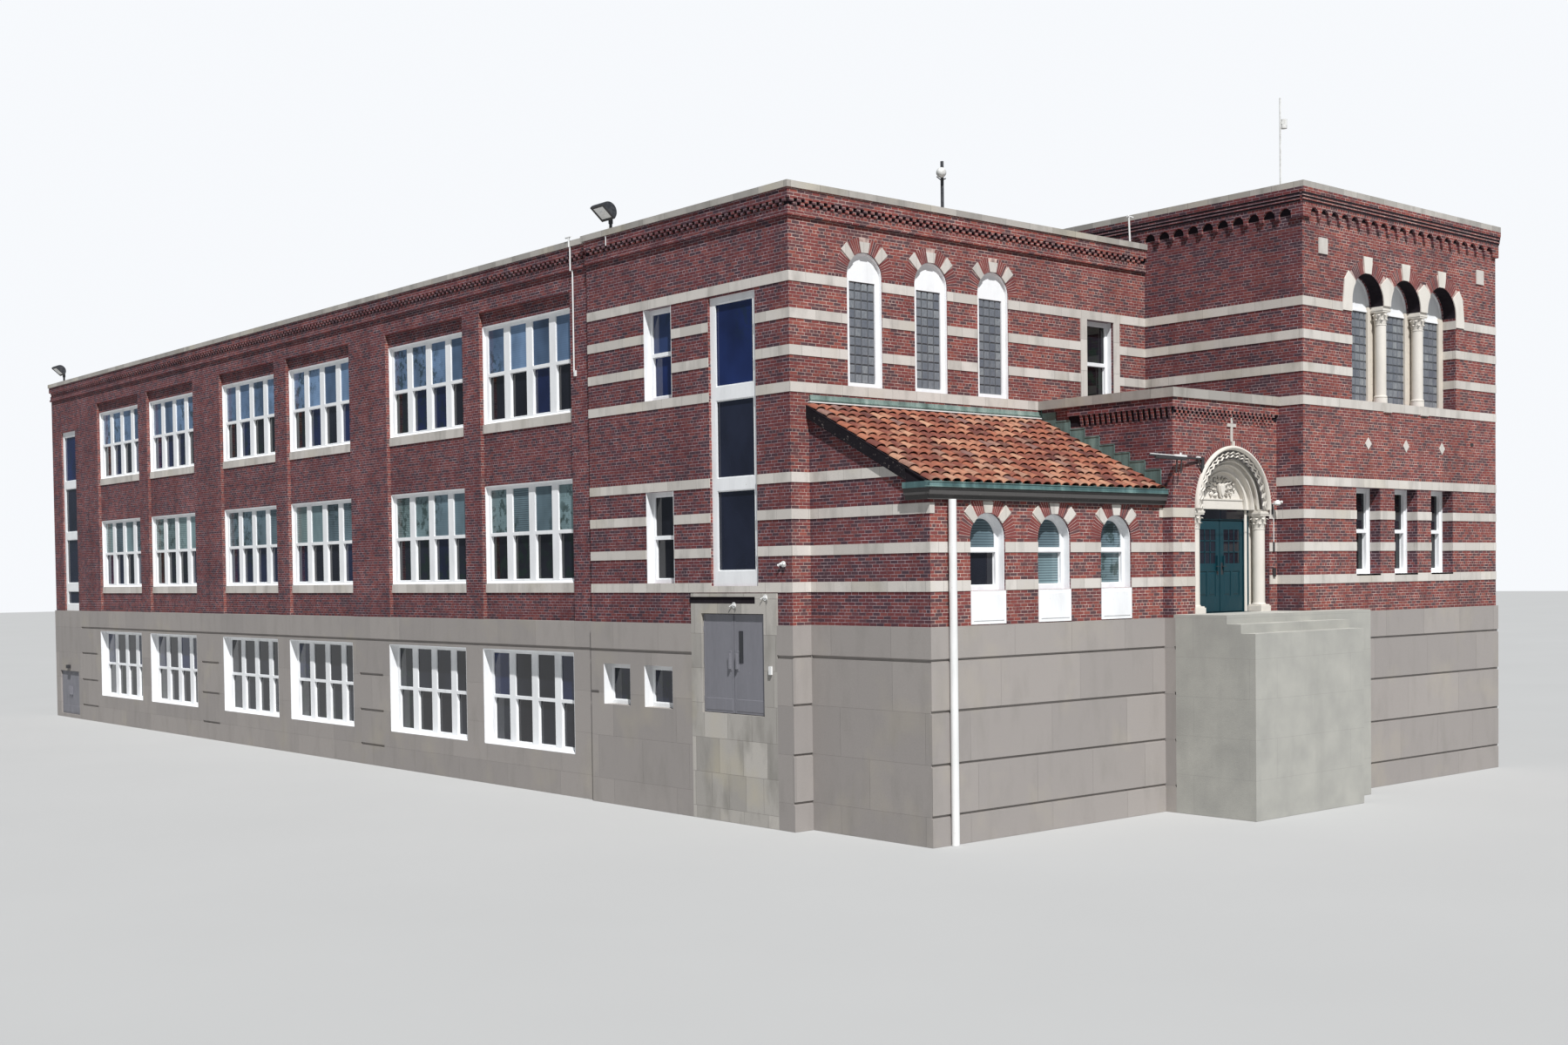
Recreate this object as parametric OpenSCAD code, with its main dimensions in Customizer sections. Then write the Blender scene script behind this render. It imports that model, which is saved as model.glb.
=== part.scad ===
// School building with a brick entrance tower, a round-arched stone portal,
// a tile-roofed lean-to and a long classroom wing, as a 1:2 scale model.
// Millimetres, +Z up. The front faces -Y and the classroom side faces -X.
// The origin is at the foot of the front left corner of the main block.
// Heights are counted in brick courses above the water table.

/* [Levels] */
// Height of one brick course with its joint
course = 33.867; // [32:0.2:36]
// Courses of stone base from the lowest ground up to the water table
base_rows = 62; // [61:0.5:66]
// Courses from one floor to the next
storey_rows = 60; // [58:0.5:63]
// Thickness of the floor and roof slabs, in courses
slab_rows = 4; // [3:0.25:5]
// Top of the main parapet coping, in courses above the water table
main_top = 132.4; // [130:0.2:135]
// Top of the tower coping, in courses above the water table
tower_top_row = 143.8; // [141:0.2:147]
// Top of the entrance block coping, in courses above the water table
entrance_top = 73; // [72:0.2:75]
// Height of a parapet coping, in courses
coping_rows = 2; // [1.5:0.1:3]
// Height of one stone band, in courses
band_rows = 3; // [2:0.25:4]
// Courses from one stone band up to the next
band_pitch = 11; // [10.5:0.25:11.5]
// Sill of the ordinary windows above each floor, in courses
sill_row = 13; // [12:0.25:14]
// Height of the ordinary windows, in courses
window_rows = 30; // [28:0.25:31]

/* [Walls] */
// Thickness of the brick and stone walls
wall_t = 230; // [200:5:250]
// How far the stone base stands out from the brick
base_out = 22; // [15:1:35]
// How far the copings stand out from the brick
coping_out = 50; // [35:1:70]
// How far the stone bands and sills stand out from the brick
trim_out = 6; // [4:1:12]
// How far the wing stands back from the corner pavilion
wing_step = 50; // [40:1:60]
// Depth of the grooves in the stone base
groove_d = 15; // [8:1:20]
// Distance from the end of a groove to the next opening
groove_stop = 200; // [150:5:250]
// Width of the stair halls, which have no floors across them
stair_hall_w = 1500; // [1300:10:1700]

/* [Classroom wing] */
// Length of the corner pavilion along the side
pavilion_len = 3590; // [3500:5:3700]
// Distance from the front corner to the first classroom bay
first_bay = 4025; // [3950:5:4200]
// Width of one classroom bay
bay_w = 2085; // [2000:5:2150]
// Width of the pier between two bays of a pair
narrow_pier = 420; // [380:5:480]
// Width of the pier between two pairs of bays
wide_pier = 1100; // [1000:10:1300]
// Pairs of bays
bay_pairs = 3; // [1:1:4]
// Length of the wing beyond its last bay
end_len = 2530; // [2450:5:2700]
// Depth of the recessed bay panel
panel_in = 50; // [30:1:60]
// Top of the bay panels, in courses above the water table
panel_top = 115.3; // [114:0.1:117]
// Sill of the classroom windows above each floor, in courses
bay_sill = 13.4; // [12.5:0.1:14]
// Height of the classroom windows, in courses
bay_rows = 36.8; // [35:0.1:37.5]
// Windows side by side in one bay
bay_units = 4; // [3:1:5]
// Width of the white bar between two windows of a bay
mullion_w = 140; // [110:2:160]
// Sill of the basement windows, in courses above the water table
low_sill = -47; // [-49:0.25:-45]
// Height of the basement windows, in courses
low_rows = 36; // [34:0.25:37]

/* [Windows] */
// Depth from the wall face to the front of the window frames
frame_in = 90; // [75:1:110]
// Depth of the window frames
frame_d = 60; // [45:1:70]
// Width of the bars round a window
frame_w = 45; // [35:1:60]
// Height of the bar where the two sashes meet
rail_h = 40; // [30:1:60]
// Thickness of the glass
glass_t = 6; // [4:0.5:10]
// Thickness of the glass block panels
block_t = 30; // [25:1:40]
// Width of the small pavilion windows
small_w = 510; // [480:5:540]
// Place of the small pavilion windows from the front corner
small_y = 2230; // [2150:5:2300]
// Width of the stair windows
stair_w = 785; // [740:5:820]
// Place of the near stair window from the front corner
stair_y = 932; // [920:1:945]

/* [Front wall] */
// Left end of the lean-to from the front left corner
leanto_x = 250; // [200:5:300]
// Width of the lean-to
leanto_w = 3565; // [3520:5:3700]
// Depth of the lean-to in front of the main wall
leanto_d = 1710; // [1650:5:1780]
// Centre of the first arched window
arch_x = 1050; // [1000:5:1100]
// Distance between the arched windows
arch_pitch = 986; // [950:2:1020]
// Width of the arched windows
arch_w = 500; // [460:5:540]
// Width of the window opening in the stone surround
plain_w = 495; // [460:5:520]
// Width of the stone round that window
surround_w = 112; // [90:2:130]
// Height of the upper arched windows up to the spring line, in courses
upper_spring = 34; // [32:0.25:35]
// Sill of the lean-to windows, in courses above the water table
leanto_sill = 10; // [9:0.25:11]
// Height of the lean-to windows up to the spring line, in courses
leanto_spring = 15; // [14:0.25:16]

/* [Lean-to roof] */
// Top of the roof where it meets the main wall, in courses
roof_high = 67.4; // [66:0.2:68.4]
// Top of the roof at the outer face of the lean-to wall, in courses
roof_low = 42.4; // [41.6:0.2:43.2]
// Thickness of the tiled roof slab, measured upright
roof_t = 50; // [40:2:60]
// How far the tiles stand out over the left wall
verge_out = 40; // [20:2:60]
// Height of the board under the left edge of the tiles
rake_h = 120; // [90:5:190]
// Width of the gutter
gutter_w = 80; // [70:2:100]
// Height of the gutter
gutter_h = 58; // [50:1:66]
// Height of the moulding under the gutter
moulding_h = 110; // [90:2:120]
// Length of the gutter's return round the left corner
return_len = 290; // [250:5:330]
// Diameter of the downspout
spout_d = 78; // [60:1:90]

/* [Entrance block] */
// Width of the entrance block
entrance_w = 1935; // [1900:5:2000]
// Depth of the entrance block in front of the main wall
entrance_d = 1850; // [1800:5:1900]
// Centre of the portal from the left end of the entrance block
portal_off = 1085; // [1050:5:1110]
// Outer radius of the portal arch
portal_r = 700; // [680:2:715]
// Radius of the carved half-round panel over the doors
tympanum_r = 410; // [390:2:440]
// Spring line of the portal arch, in courses above the water table
portal_spring = 35; // [34:0.25:36]
// Stone rings that step back inside the arch
portal_rings = 4; // [3:1:6]
// Depth of the portal
portal_d = 170; // [150:2:180]
// Distance of the columns from the middle of the portal
column_off = 615; // [606:1:624]
// Diameter of the portal columns
column_d = 137; // [110:1:150]
// Width of one entrance door leaf opening
leaf_w = 450; // [430:2:455]
// Head of the entrance doors, in courses above the water table
door_head = 31.5; // [31:0.1:32.2]
// Width of the white frame beside the doors
door_frame_w = 95; // [80:1:98]
// Top of the landing, in courses above the water table
landing_row = 1; // [0.8:0.1:1.4]
// Depth of the landing in front of the entrance wall
landing_d = 675; // [600:5:750]
// How far the landing goes past the corner of the tower
landing_past = 850; // [700:10:1000]
// Depth of one step
tread_d = 175; // [150:5:190]
// Height of one step, in courses
riser_rows = 2.8; // [2.4:0.1:3.2]

/* [Tower] */
// Width of the tower
tower_w = 4400; // [4350:5:4500]
// Depth of the tower in front of the main wall
tower_d = 2200; // [2100:5:2300]
// How far the tower goes back over the main roof
tower_back_d = 2200; // [2100:5:2300]
// How far the tower stands out from the right side wall
tower_step = 150; // [100:5:200]
// Distance between the tower windows
tower_pitch = 845; // [820:1:870]
// Width of the lower tower windows
tower_window_w = 525; // [490:5:560]
// Radius of the triple arches
belfry_r = 345; // [330:1:360]
// Diameter of the columns between the triple arches
belfry_column_d = 135; // [115:1:145]
// Spring line of the triple arches above their sill, in courses
belfry_spring = 34; // [32:0.25:35]
// Width of the posts behind the belfry columns
post_w = 280; // [240:5:300]
// Distance between two small arches of the corbel table
corbel_pitch = 210; // [200:1:220]
// Radius of the small arches of the corbel table
corbel_r = 79; // [70:1:85]
// How far the corbel table stands out
corbel_out = 30; // [22:1:40]
// Height of the mast on the tower
mast_h = 1020; // [800:10:1200]
// Height of the camera pole on the front parapet
pole_h = 550; // [450:5:600]
// Height of the posts that carry the floodlights
light_post_h = 190; // [150:5:230]

/* [Doors] */
// Thickness of the door leaves
leaf_t = 23; // [20:0.5:28]
// Gap between a door leaf and what is round it
door_gap = 6; // [5.5:0.25:8]
// Diameter of the hinge knuckles
knuckle_d = 9; // [7:0.5:10]
// Near end of the side door opening from the front corner
side_door_y = 440; // [430:1:450]
// Width of one leaf opening of the side door
side_leaf_w = 522; // [500:1:530]
// Foot of the side door, in courses above the water table
side_foot = -28; // [-30:0.25:-26]
// Head of the side door, in courses above the water table
side_head = 3.4; // [2.8:0.1:4]
// Top of the stone over the side door, in courses
side_stone_top = 9.7; // [9:0.1:10.5]
// Width of the stone beside the side door
side_stone_w = 180; // [160:2:195]
// Width of one leaf opening of the far door
far_leaf_w = 525; // [500:5:540]
// Head of the far door, in courses above the water table
far_head = -35; // [-36:0.25:-33]
// Depth of the side doors behind the face of the base
side_in = 30; // [24:1:40]

/* [Hidden] */
$fn = 48;

brick = [0.38, 0.17, 0.13];
limestone = [0.80, 0.76, 0.67];
base_stone = [0.62, 0.57, 0.50];
concrete = [0.66, 0.64, 0.60];
trim_white = [0.90, 0.90, 0.88];
glass = [0.35, 0.42, 0.46];
block_glass = [0.45, 0.55, 0.62];
clay_tile = [0.72, 0.34, 0.20];
copper_green = [0.38, 0.56, 0.50];
teal = [0.03, 0.24, 0.28];
door_grey = [0.45, 0.46, 0.47];
roofing = [0.30, 0.30, 0.30];
metal_white = [0.85, 0.85, 0.83];
dark_paint = [0.13, 0.12, 0.12];
beige_paint = [0.55, 0.50, 0.43];

big = 100000;
cut = 1;

function z_at(row) = (row + base_rows) * course;
function rows(n) = n * course;

entrance_x = leanto_x + leanto_w;
tower_x = entrance_x + entrance_w;
tower_end = tower_x + tower_w;
main_w = tower_end - tower_step;
tower_cx = tower_x + tower_w / 2;
portal_x = entrance_x + portal_off;
bay_step = bay_w + narrow_pier;
pair_step = 2 * bay_w + narrow_pier + wide_pier;
bay_count = 2 * bay_pairs;
wing_bays_end = first_bay + bay_pairs * pair_step - wide_pier;
main_len = wing_bays_end + end_len;
inner_end = main_len - wall_t;
parapet_row = main_top - coping_rows;
parapet_rows = 9;
deck_row = panel_top + 6;
tower_wall_row = deck_row + slab_rows;
tower_rim_row = tower_top_row - coping_rows;
storeys = [0, storey_rows];
basement_row = -base_rows + 2;
side_door_end = side_door_y + 2 * side_leaf_w;
far_door_start = inner_end - 2 * far_leaf_w;
door_inner = door_frame_w + leaf_w;
leaf_out = 15;
leaf_face = entrance_d - portal_d - leaf_out;
landing_front = entrance_d + landing_d;
side_surround_end = side_door_end + side_stone_w;
side_face = -base_out + side_in;
far_face = wing_step - base_out + side_in;

lower_bands = [for (k = [0:3]) sill_row + k * band_pitch];
upper_bands = [for (level = lower_bands) level + storey_rows];
all_bands = concat(lower_bands, upper_bands);
groove_rows = [-9, -23.5, -38.5, -53];
far_stair_off = 1605;
far_stair_y = wing_bays_end + far_stair_off;
far_hall_start = 2 * far_stair_y - inner_end;
stair_foot = 12;
stair_top = 102.5;
stair_lights = [[16.7, 41.9], [45.8, 70.2], [74.5, 100.5]];
far_stair_foot = 0;
far_stair_top = 103;
far_stair_lights = [[3.9, 11.2], [15.9, 41], [45.4, 70.4], [74.8, 100.3]];
stair_inset = 30;
low_window_ys = [2277, 3075];
low_window_w = 530;
low_window_top = -14.1;
slot_rows = [6.5, 8.65];
slot_start = side_door_y + 135;
back_bays = 3;
back_bay_xs = [for (i = [0:back_bays - 1]) main_w / 2 + (i - 1) * (bay_w + wide_pier)];
plain_off = 1075;
plain_x = entrance_x + plain_off;
key_w = 100;
key_h = 110;
leanto_rail = 11;
head_panel = 1.5;
knuckle_h = 50;
band_stub = 60;
gutter_top = roof_z(-leanto_d) - roof_t;
gutter_wall = 8;
spout_x = 495;
post_in = 170;
block_in = 195;
jamb_w = 105;
panel_in_front = 40;
panel_casing = 65;
tower_glass_in = 160;
belfry_z = z_at(storey_rows + sill_row);
belfry_key = [137, 194, 193];
kneeler_half = 140;
kneeler_out = 195;
kneeler_rows = [-3.6, 7.1, 10];
lozenge_row = 58.3;
lozenge_half = [68, 73];
plaque_row = 121;
plaque_off = 1790;
plaque_w = 180;
cross_row = 57;
cross_bar = 36;
cross_h = 265;
cross_arm = 160;
corbel_foot = 132.2;
corbel_spring_rows = 1.1;
tower_steps_row = 137;
cornice_steps = 4;
mast_d = 18;
mast_in = 355;
receiver_d = 75;
receiver_h = 100;
receiver_out = 70;
arm_d = 14;
pole_d = 36;
camera_x = 2350;
dome_d = 112;
dome_at = [-50, -36, -135];
light_x = 150;
light_offs = [290, 475];
light_ys = [pavilion_len - light_offs[0], main_len - light_offs[1]];
light_w = 250;
light_r = 110;
light_lean = 110;
light_rise = 38;
light_tilt = 50;
socket_d = 52;
socket_span = [-75, 25];
column_set = 0.645;
end_kneeler_steps = [37, 122, 265, 300];
cross_off = 25;
step_past = 120;
moulding_lip = 15;

function bay_y(i) = first_bay + floor(i / 2) * pair_step + (i % 2) * bay_step + bay_w / 2;
function arch_cx(i) = arch_x + i * arch_pitch;
function tower_wx(i) = tower_cx + (i - 1) * tower_pitch;

// A box from one corner to the other
module block(x0, x1, y0, y1, z0, z1) {
    translate([x0, y0, z0]) cube([x1 - x0, y1 - y0, z1 - z0]);
}

// Turns a piece drawn on a front wall onto the left, right or back side
module facing_left(x, y) { translate([x, y, 0]) rotate([0, 0, -90]) children(); }
module facing_right(x, y) { translate([x, y, 0]) rotate([0, 0, 90]) children(); }
module facing_back(x, y) { translate([x, y, 0]) rotate([0, 0, 180]) children(); }

// An upright plate with a round arched top, centred, its front at y = 0
module arched_plate(w, spring, d) {
    translate([0, d, 0]) rotate([90, 0, 0]) linear_extrude(d) {
        translate([-w / 2, 0]) square([w, spring]);
        translate([0, spring]) circle(d = w);
    }
}

// A centred opening through a wall, from the outside face inwards
module hole(w, z0, z1, y0 = -200, y1 = wall_t + 200) {
    block(-w / 2, w / 2, y0, y1, z0, z1);
}

// A frame with two panes, one over the other
module sash_frame(w, z0, z1, inset = frame_in) {
    difference() {
        block(-w / 2, w / 2, inset, inset + frame_d, z0, z1);
        sash_panes(w, z0, z1, inset);
    }
}

module sash_panes(w, z0, z1, inset) {
    middle = (z0 + z1) / 2;
    clear = w - 2 * frame_w;
    for (span = [[z0 + frame_w, middle - rail_h / 2], [middle + rail_h / 2, z1 - frame_w]])
        block(-clear / 2, clear / 2, inset - cut, inset + frame_d + cut, span[0], span[1]);
}

// A frame round one plain pane
module plain_frame(w, z0, z1) {
    difference() {
        block(-w / 2, w / 2, frame_in, frame_in + frame_d, z0, z1);
        block(frame_w - w / 2, w / 2 - frame_w, frame_in - cut, frame_in + frame_d + cut,
            z0 + frame_w, z1 - frame_w);
    }
}

// A bank of sash windows with bars between them
module bank_frame(w, z0, z1, inset) {
    unit = w / bay_units;
    difference() {
        block(-w / 2, w / 2, inset, inset + frame_d, z0, z1);
        for (i = [0:bay_units - 1])
            translate([(i - (bay_units - 1) / 2) * unit, 0, 0])
                sash_panes(unit - mullion_w + 2 * frame_w, z0, z1, inset);
    }
}

// The glass behind a frame
module pane(w, z0, z1, inset) {
    block(-w / 2, w / 2, inset + frame_d, inset + frame_d + glass_t, z0, z1);
}

// Openings of one classroom bay, with its recessed panel
module bay_cuts(recess = true) {
    if (recess) hole(bay_w, z_at(0), z_at(panel_top), -200, panel_in);
    for (row = storeys) hole(bay_w, z_at(row + bay_sill), z_at(row + bay_sill + bay_rows));
}

module bay_frames() {
    for (row = storeys)
        bank_frame(bay_w, z_at(row + bay_sill), z_at(row + bay_sill + bay_rows), frame_in);
    bank_frame(bay_w, z_at(low_sill), z_at(low_sill + low_rows), frame_in);
}

module bay_panes() {
    for (row = storeys) pane(bay_w, z_at(row + bay_sill), z_at(row + bay_sill + bay_rows), frame_in);
    pane(bay_w, z_at(low_sill), z_at(low_sill + low_rows), frame_in);
}

// Openings in the brick of each wall
module wing_cuts() {
    for (i = [0:bay_count - 1]) facing_left(wing_step, bay_y(i)) bay_cuts();
    facing_left(wing_step, far_stair_y) hole(stair_w, z_at(far_stair_foot - 1), z_at(far_stair_top));
}

module pavilion_cuts() {
    facing_left(0, stair_y) hole(stair_w, z_at(stair_foot), z_at(stair_top));
    for (row = storeys)
        facing_left(0, small_y) hole(small_w, z_at(row + sill_row), z_at(row + sill_row + window_rows));
    block(-200, wall_t + 200, wall_t, side_surround_end, z_at(-1), z_at(side_stone_top));
}

module front_cuts() {
    for (i = [0:2])
        translate([arch_cx(i), -200, z_at(storey_rows + sill_row)])
            arched_plate(arch_w, rows(upper_spring), wall_t + 400);
    translate([plain_x, 0, 0])
        hole(plain_w, z_at(storey_rows + sill_row), z_at(storey_rows + sill_row + window_rows));
}

module leanto_cuts() {
    for (i = [0:2])
        translate([arch_cx(i), -leanto_d - 200, z_at(leanto_sill)])
            arched_plate(arch_w, rows(leanto_spring), wall_t + 400);
}

module tower_front_cuts() {
    for (i = [0:2]) {
        translate([tower_wx(i), -tower_d, 0])
            hole(tower_window_w, z_at(sill_row), z_at(sill_row + window_rows));
        translate([tower_wx(i), -tower_d - 200, belfry_z])
            arched_plate(2 * belfry_r, rows(belfry_spring), wall_t + 400);
    }
    translate([tower_cx, -tower_d, 0])
        hole(2 * tower_pitch, belfry_z, belfry_z + rows(belfry_spring));
}

// Plain openings between the rooms of the ground floor
module inner_doorways() {
    block(portal_x - leaf_w, portal_x + leaf_w, -200, wall_t + 200, z_at(-1), z_at(door_head));
    block(arch_x, arch_x + arch_pitch, -200, wall_t + 200, z_at(-1), z_at(door_head));
}

// Floor outline inside the walls: the main room and the tower bay
module room_plan() {
    translate([wall_t, wall_t]) square([main_w - 2 * wall_t, pavilion_len - wall_t]);
    translate([wing_step + wall_t, wall_t])
        square([main_w - 2 * wall_t - wing_step, inner_end - wall_t]);
    translate([tower_x + wall_t, -tower_d + wall_t])
        square([tower_w - 2 * wall_t, tower_d + tower_back_d - wall_t]);
}

// The stair halls, which the floors leave open
module stair_halls() {
    translate([0, 0]) square([wall_t + stair_hall_w, side_surround_end]);
    translate([0, far_hall_start]) square([wing_step + wall_t + stair_hall_w, main_len - far_hall_start]);
}

module floor_slab(row) {
    translate([0, 0, z_at(row - slab_rows)]) linear_extrude(rows(slab_rows)) difference() {
        room_plan();
        if (row <= storey_rows) stair_halls();
    }
}

module basement_floor() {
    color(concrete) linear_extrude(z_at(basement_row)) room_plan();
}

module ground_floor() {
    color(concrete) {
        floor_slab(0);
        block(entrance_x + wall_t, tower_x - base_out, -entrance_d + wall_t, -base_out,
            z_at(-slab_rows), z_at(0));
        block(leanto_x + wall_t, entrance_x, -leanto_d + wall_t, -base_out, z_at(-slab_rows), z_at(0));
    }
}

module upper_floor() {
    color(concrete) floor_slab(storey_rows);
}

module roof_deck() {
    color(roofing) {
        floor_slab(deck_row + slab_rows);
        block(entrance_x + wall_t, tower_x, -entrance_d + wall_t, 0,
            z_at(entrance_top - parapet_rows), z_at(entrance_top - parapet_rows + slab_rows));
        block(tower_x + wall_t, tower_end - wall_t, -tower_d + wall_t, tower_back_d - wall_t,
            z_at(tower_rim_row - parapet_rows), z_at(tower_rim_row - parapet_rows + slab_rows));
    }
}

// Grooves along a stretch of base: x is the face, and the wall lies on its right
module groove(x, y0, y1, row) {
    if (y1 > y0) block(x - cut, x + groove_d, y0, y1, z_at(row - 1), z_at(row));
}

module wing_grooves() {
    face = wing_step - base_out;
    groove(-base_out, side_surround_end, pavilion_len + cut, groove_rows[0]);
    groove(face, pavilion_len, far_door_start - groove_stop, groove_rows[0]);
    groove(-base_out, low_window_ys[1] + (low_window_w + groove_stop) / 2, pavilion_len + cut,
        groove_rows[1]);
    for (k = [1:3]) {
        for (i = [1:bay_pairs - 1])
            groove(face, bay_y(2 * i) - bay_w / 2 - wide_pier + groove_stop,
                bay_y(2 * i) - bay_w / 2 - groove_stop, groove_rows[k]);
        groove(face, wing_bays_end + groove_stop, far_door_start - groove_stop, groove_rows[k]);
    }
}

// Grooves along a base that faces the front
module front_grooves(x0, x1, y) {
    for (row = groove_rows) block(x0 - cut, x1 + cut, y - cut, y + groove_d, z_at(row - 1), z_at(row));
}

// Stone base of the left and right sides, proud of the brick above
module base_side_walls() {
    color(base_stone) {
        difference() {
            union() {
                block(-base_out, wall_t, wall_t, pavilion_len, 0, z_at(0));
                block(wing_step - base_out, wing_step + wall_t, pavilion_len, inner_end, 0, z_at(0));
            }
            for (i = [0:bay_count - 1])
                facing_left(wing_step, bay_y(i)) hole(bay_w, z_at(low_sill), z_at(low_sill + low_rows));
            for (y = low_window_ys)
                facing_left(0, y) hole(low_window_w, z_at(side_foot), z_at(low_window_top));
            block(-200, wall_t + 200, wall_t - cut, side_surround_end, -cut, z_at(0) + cut);
            block(-200, wing_step + wall_t + 200, far_door_start, main_len, -cut, z_at(0) + cut);
            wing_grooves();
        }
        difference() {
            block(main_w - wall_t, main_w + base_out, tower_back_d, inner_end, 0, z_at(0));
            for (i = [0:bay_count - 1])
                facing_right(main_w, bay_y(i)) hole(bay_w, z_at(low_sill), z_at(low_sill + low_rows));
        }
    }
}

module base_end_walls() {
    color(base_stone) {
        difference() {
            block(-base_out, tower_x, -base_out, wall_t, 0, z_at(0));
            front_grooves(-base_out, leanto_x - base_out, -base_out);
            groove(-base_out, -base_out - cut, wall_t, groove_rows[0]);
        }
        block(wing_step - base_out, main_w + base_out, inner_end, main_len + base_out, 0, z_at(0));
    }
}

module pavilion_wall() {
    color(brick) difference() {
        block(0, wall_t, wall_t, pavilion_len, z_at(0), z_at(parapet_row));
        pavilion_cuts();
    }
}

module side_walls() {
    color(brick) {
        difference() {
            block(wing_step, wing_step + wall_t, pavilion_len, inner_end, z_at(0), z_at(parapet_row));
            wing_cuts();
        }
        difference() {
            block(main_w - wall_t, main_w, tower_back_d, inner_end, z_at(0), z_at(parapet_row));
            for (i = [0:bay_count - 1]) facing_right(main_w, bay_y(i)) bay_cuts();
        }
    }
}

module end_walls() {
    color(brick) {
        difference() {
            block(0, tower_x, 0, wall_t, z_at(0), z_at(parapet_row));
            front_cuts();
            inner_doorways();
        }
        difference() {
            block(wing_step, main_w, inner_end, main_len, z_at(0), z_at(parapet_row));
            for (x = back_bay_xs) facing_back(x, main_len) bay_cuts(false);
        }
    }
}

// A rim of stone along the top of the walls, open in the middle
module coping_ring(x0, x1, y0, y1, top_row) {
    difference() {
        block(x0 - coping_out, x1 + coping_out, y0 - coping_out, y1 + coping_out,
            z_at(top_row - coping_rows), z_at(top_row));
        block(x0 + wall_t, x1 - wall_t, y0 + wall_t, y1 - wall_t, 0, big);
    }
}

module main_coping_plan() {
    translate([-coping_out, -coping_out]) square([tower_x + coping_out, coping_out + wall_t]);
    translate([-coping_out, 0]) square([coping_out + wall_t, pavilion_len + coping_out]);
    translate([wing_step - coping_out, pavilion_len])
        square([coping_out + wall_t, main_len - pavilion_len + coping_out]);
    translate([wing_step, inner_end])
        square([main_w - wing_step + coping_out, wall_t + coping_out]);
    translate([main_w - wall_t, tower_back_d])
        square([wall_t + coping_out, main_len - tower_back_d]);
}

module main_coping() {
    difference() {
        linear_extrude(z_at(main_top)) main_coping_plan();
        below(parapet_row);
    }
}

module stone_copings() {
    color(limestone) {
        main_coping();
        coping_ring(tower_x, tower_end, -tower_d, tower_back_d, tower_top_row);
        block(entrance_x - coping_out, tower_x, -entrance_d - coping_out, -entrance_d + wall_t,
            z_at(entrance_top - band_rows), z_at(entrance_top));
        block(entrance_x - coping_out, entrance_x + wall_t, -entrance_d + wall_t, -trim_out,
            z_at(entrance_top - band_rows), z_at(entrance_top));
    }
}

// The stone bands of one storey, as strips on a face
module bands(x0, x1, y0, y1, levels) {
    for (level = levels) block(x0, x1, y0, y1, z_at(level - band_rows), z_at(level));
}

// A tapered stone over an arch, its foot at z = 0
module keystone(low_w, high_w, h) {
    rotate([90, 0, 0]) linear_extrude(2 * trim_out)
        polygon([[-low_w / 2, 0], [low_w / 2, 0], [high_w / 2, h], [-high_w / 2, h]]);
}

// Keystone and two slanting stones round an arch of radius r, centred on its spring line
module arch_stones(r) {
    translate([0, 0, r]) keystone(key_w, key_w * 1.5, key_h);
    for (side = [-1, 1])
        rotate([0, side * 45, 0]) translate([0, 0, r]) keystone(key_w * 0.8, key_w * 1.1, key_h * 1.5);
}

module window_sill(w, top) { block(-w / 2, w / 2, panel_in - 2 * trim_out, panel_in, top - rows(3.4), top); }

module pavilion_bands() {
    difference() {
        bands(-trim_out, 0, 0, pavilion_len, all_bands);
        pavilion_cuts();
    }
}

module front_bands() {
    difference() {
        union() {
            bands(-trim_out, tower_x, -trim_out, 0, upper_bands);
            bands(-trim_out, leanto_x, -trim_out, 0, lower_bands);
            translate([plain_x, 0, 0]) hole(plain_w + 2 * surround_w,
                z_at(storey_rows + sill_row), z_at(storey_rows + sill_row + window_rows + 3), -2 * trim_out, 0);
        }
        front_cuts();
    }
}

module leanto_bands() {
    difference() {
        union() {
            bands(leanto_x - trim_out, leanto_x, -leanto_d, -trim_out, lower_bands);
            bands(leanto_x - trim_out, entrance_x, -leanto_d - trim_out, -leanto_d,
                [lower_bands[0], lower_bands[1]]);
            bands(leanto_x - trim_out, leanto_x + band_stub, -leanto_d - trim_out, -leanto_d,
                [lower_bands[2]]);
            bands(entrance_x - band_stub, entrance_x, -leanto_d - trim_out, -leanto_d, [lower_bands[2]]);
        }
        leanto_cuts();
        above_slope(roof_t + rake_h);
    }
}

module entrance_bands() {
    difference() {
        union() {
            bands(entrance_x - trim_out, tower_x, -entrance_d - trim_out, -entrance_d,
                [lower_bands[0], lower_bands[1], lower_bands[2]]);
            bands(entrance_x - trim_out, entrance_x, -entrance_d, -leanto_d,
                [lower_bands[0], lower_bands[1], lower_bands[2]]);
        }
        block(portal_x - portal_r, portal_x + portal_r, -big, 0, 0, z_at(portal_spring));
    }
}

module tower_bands() {
    difference() {
        union() {
            bands(tower_x - trim_out, tower_end + trim_out, -tower_d - trim_out, -tower_d, all_bands);
            bands(tower_end, tower_end + trim_out, -tower_d, tower_back_d, all_bands);
            bands(tower_x - trim_out, tower_x, -tower_d, -entrance_d, lower_bands);
            bands(tower_x - trim_out, tower_x, -tower_d, -entrance_d - coping_out, [upper_bands[0]]);
            bands(tower_x - trim_out, tower_x, -tower_d, -trim_out,
                [upper_bands[1], upper_bands[2], upper_bands[3]]);
        }
        tower_front_cuts();
        block(tower_wx(0) - belfry_r - kneeler_out, tower_wx(2) + belfry_r + kneeler_out,
            -tower_d - coping_out, -tower_d, z_at(upper_bands[3] - band_rows), z_at(upper_bands[3]) + cut);
    }
}

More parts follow.
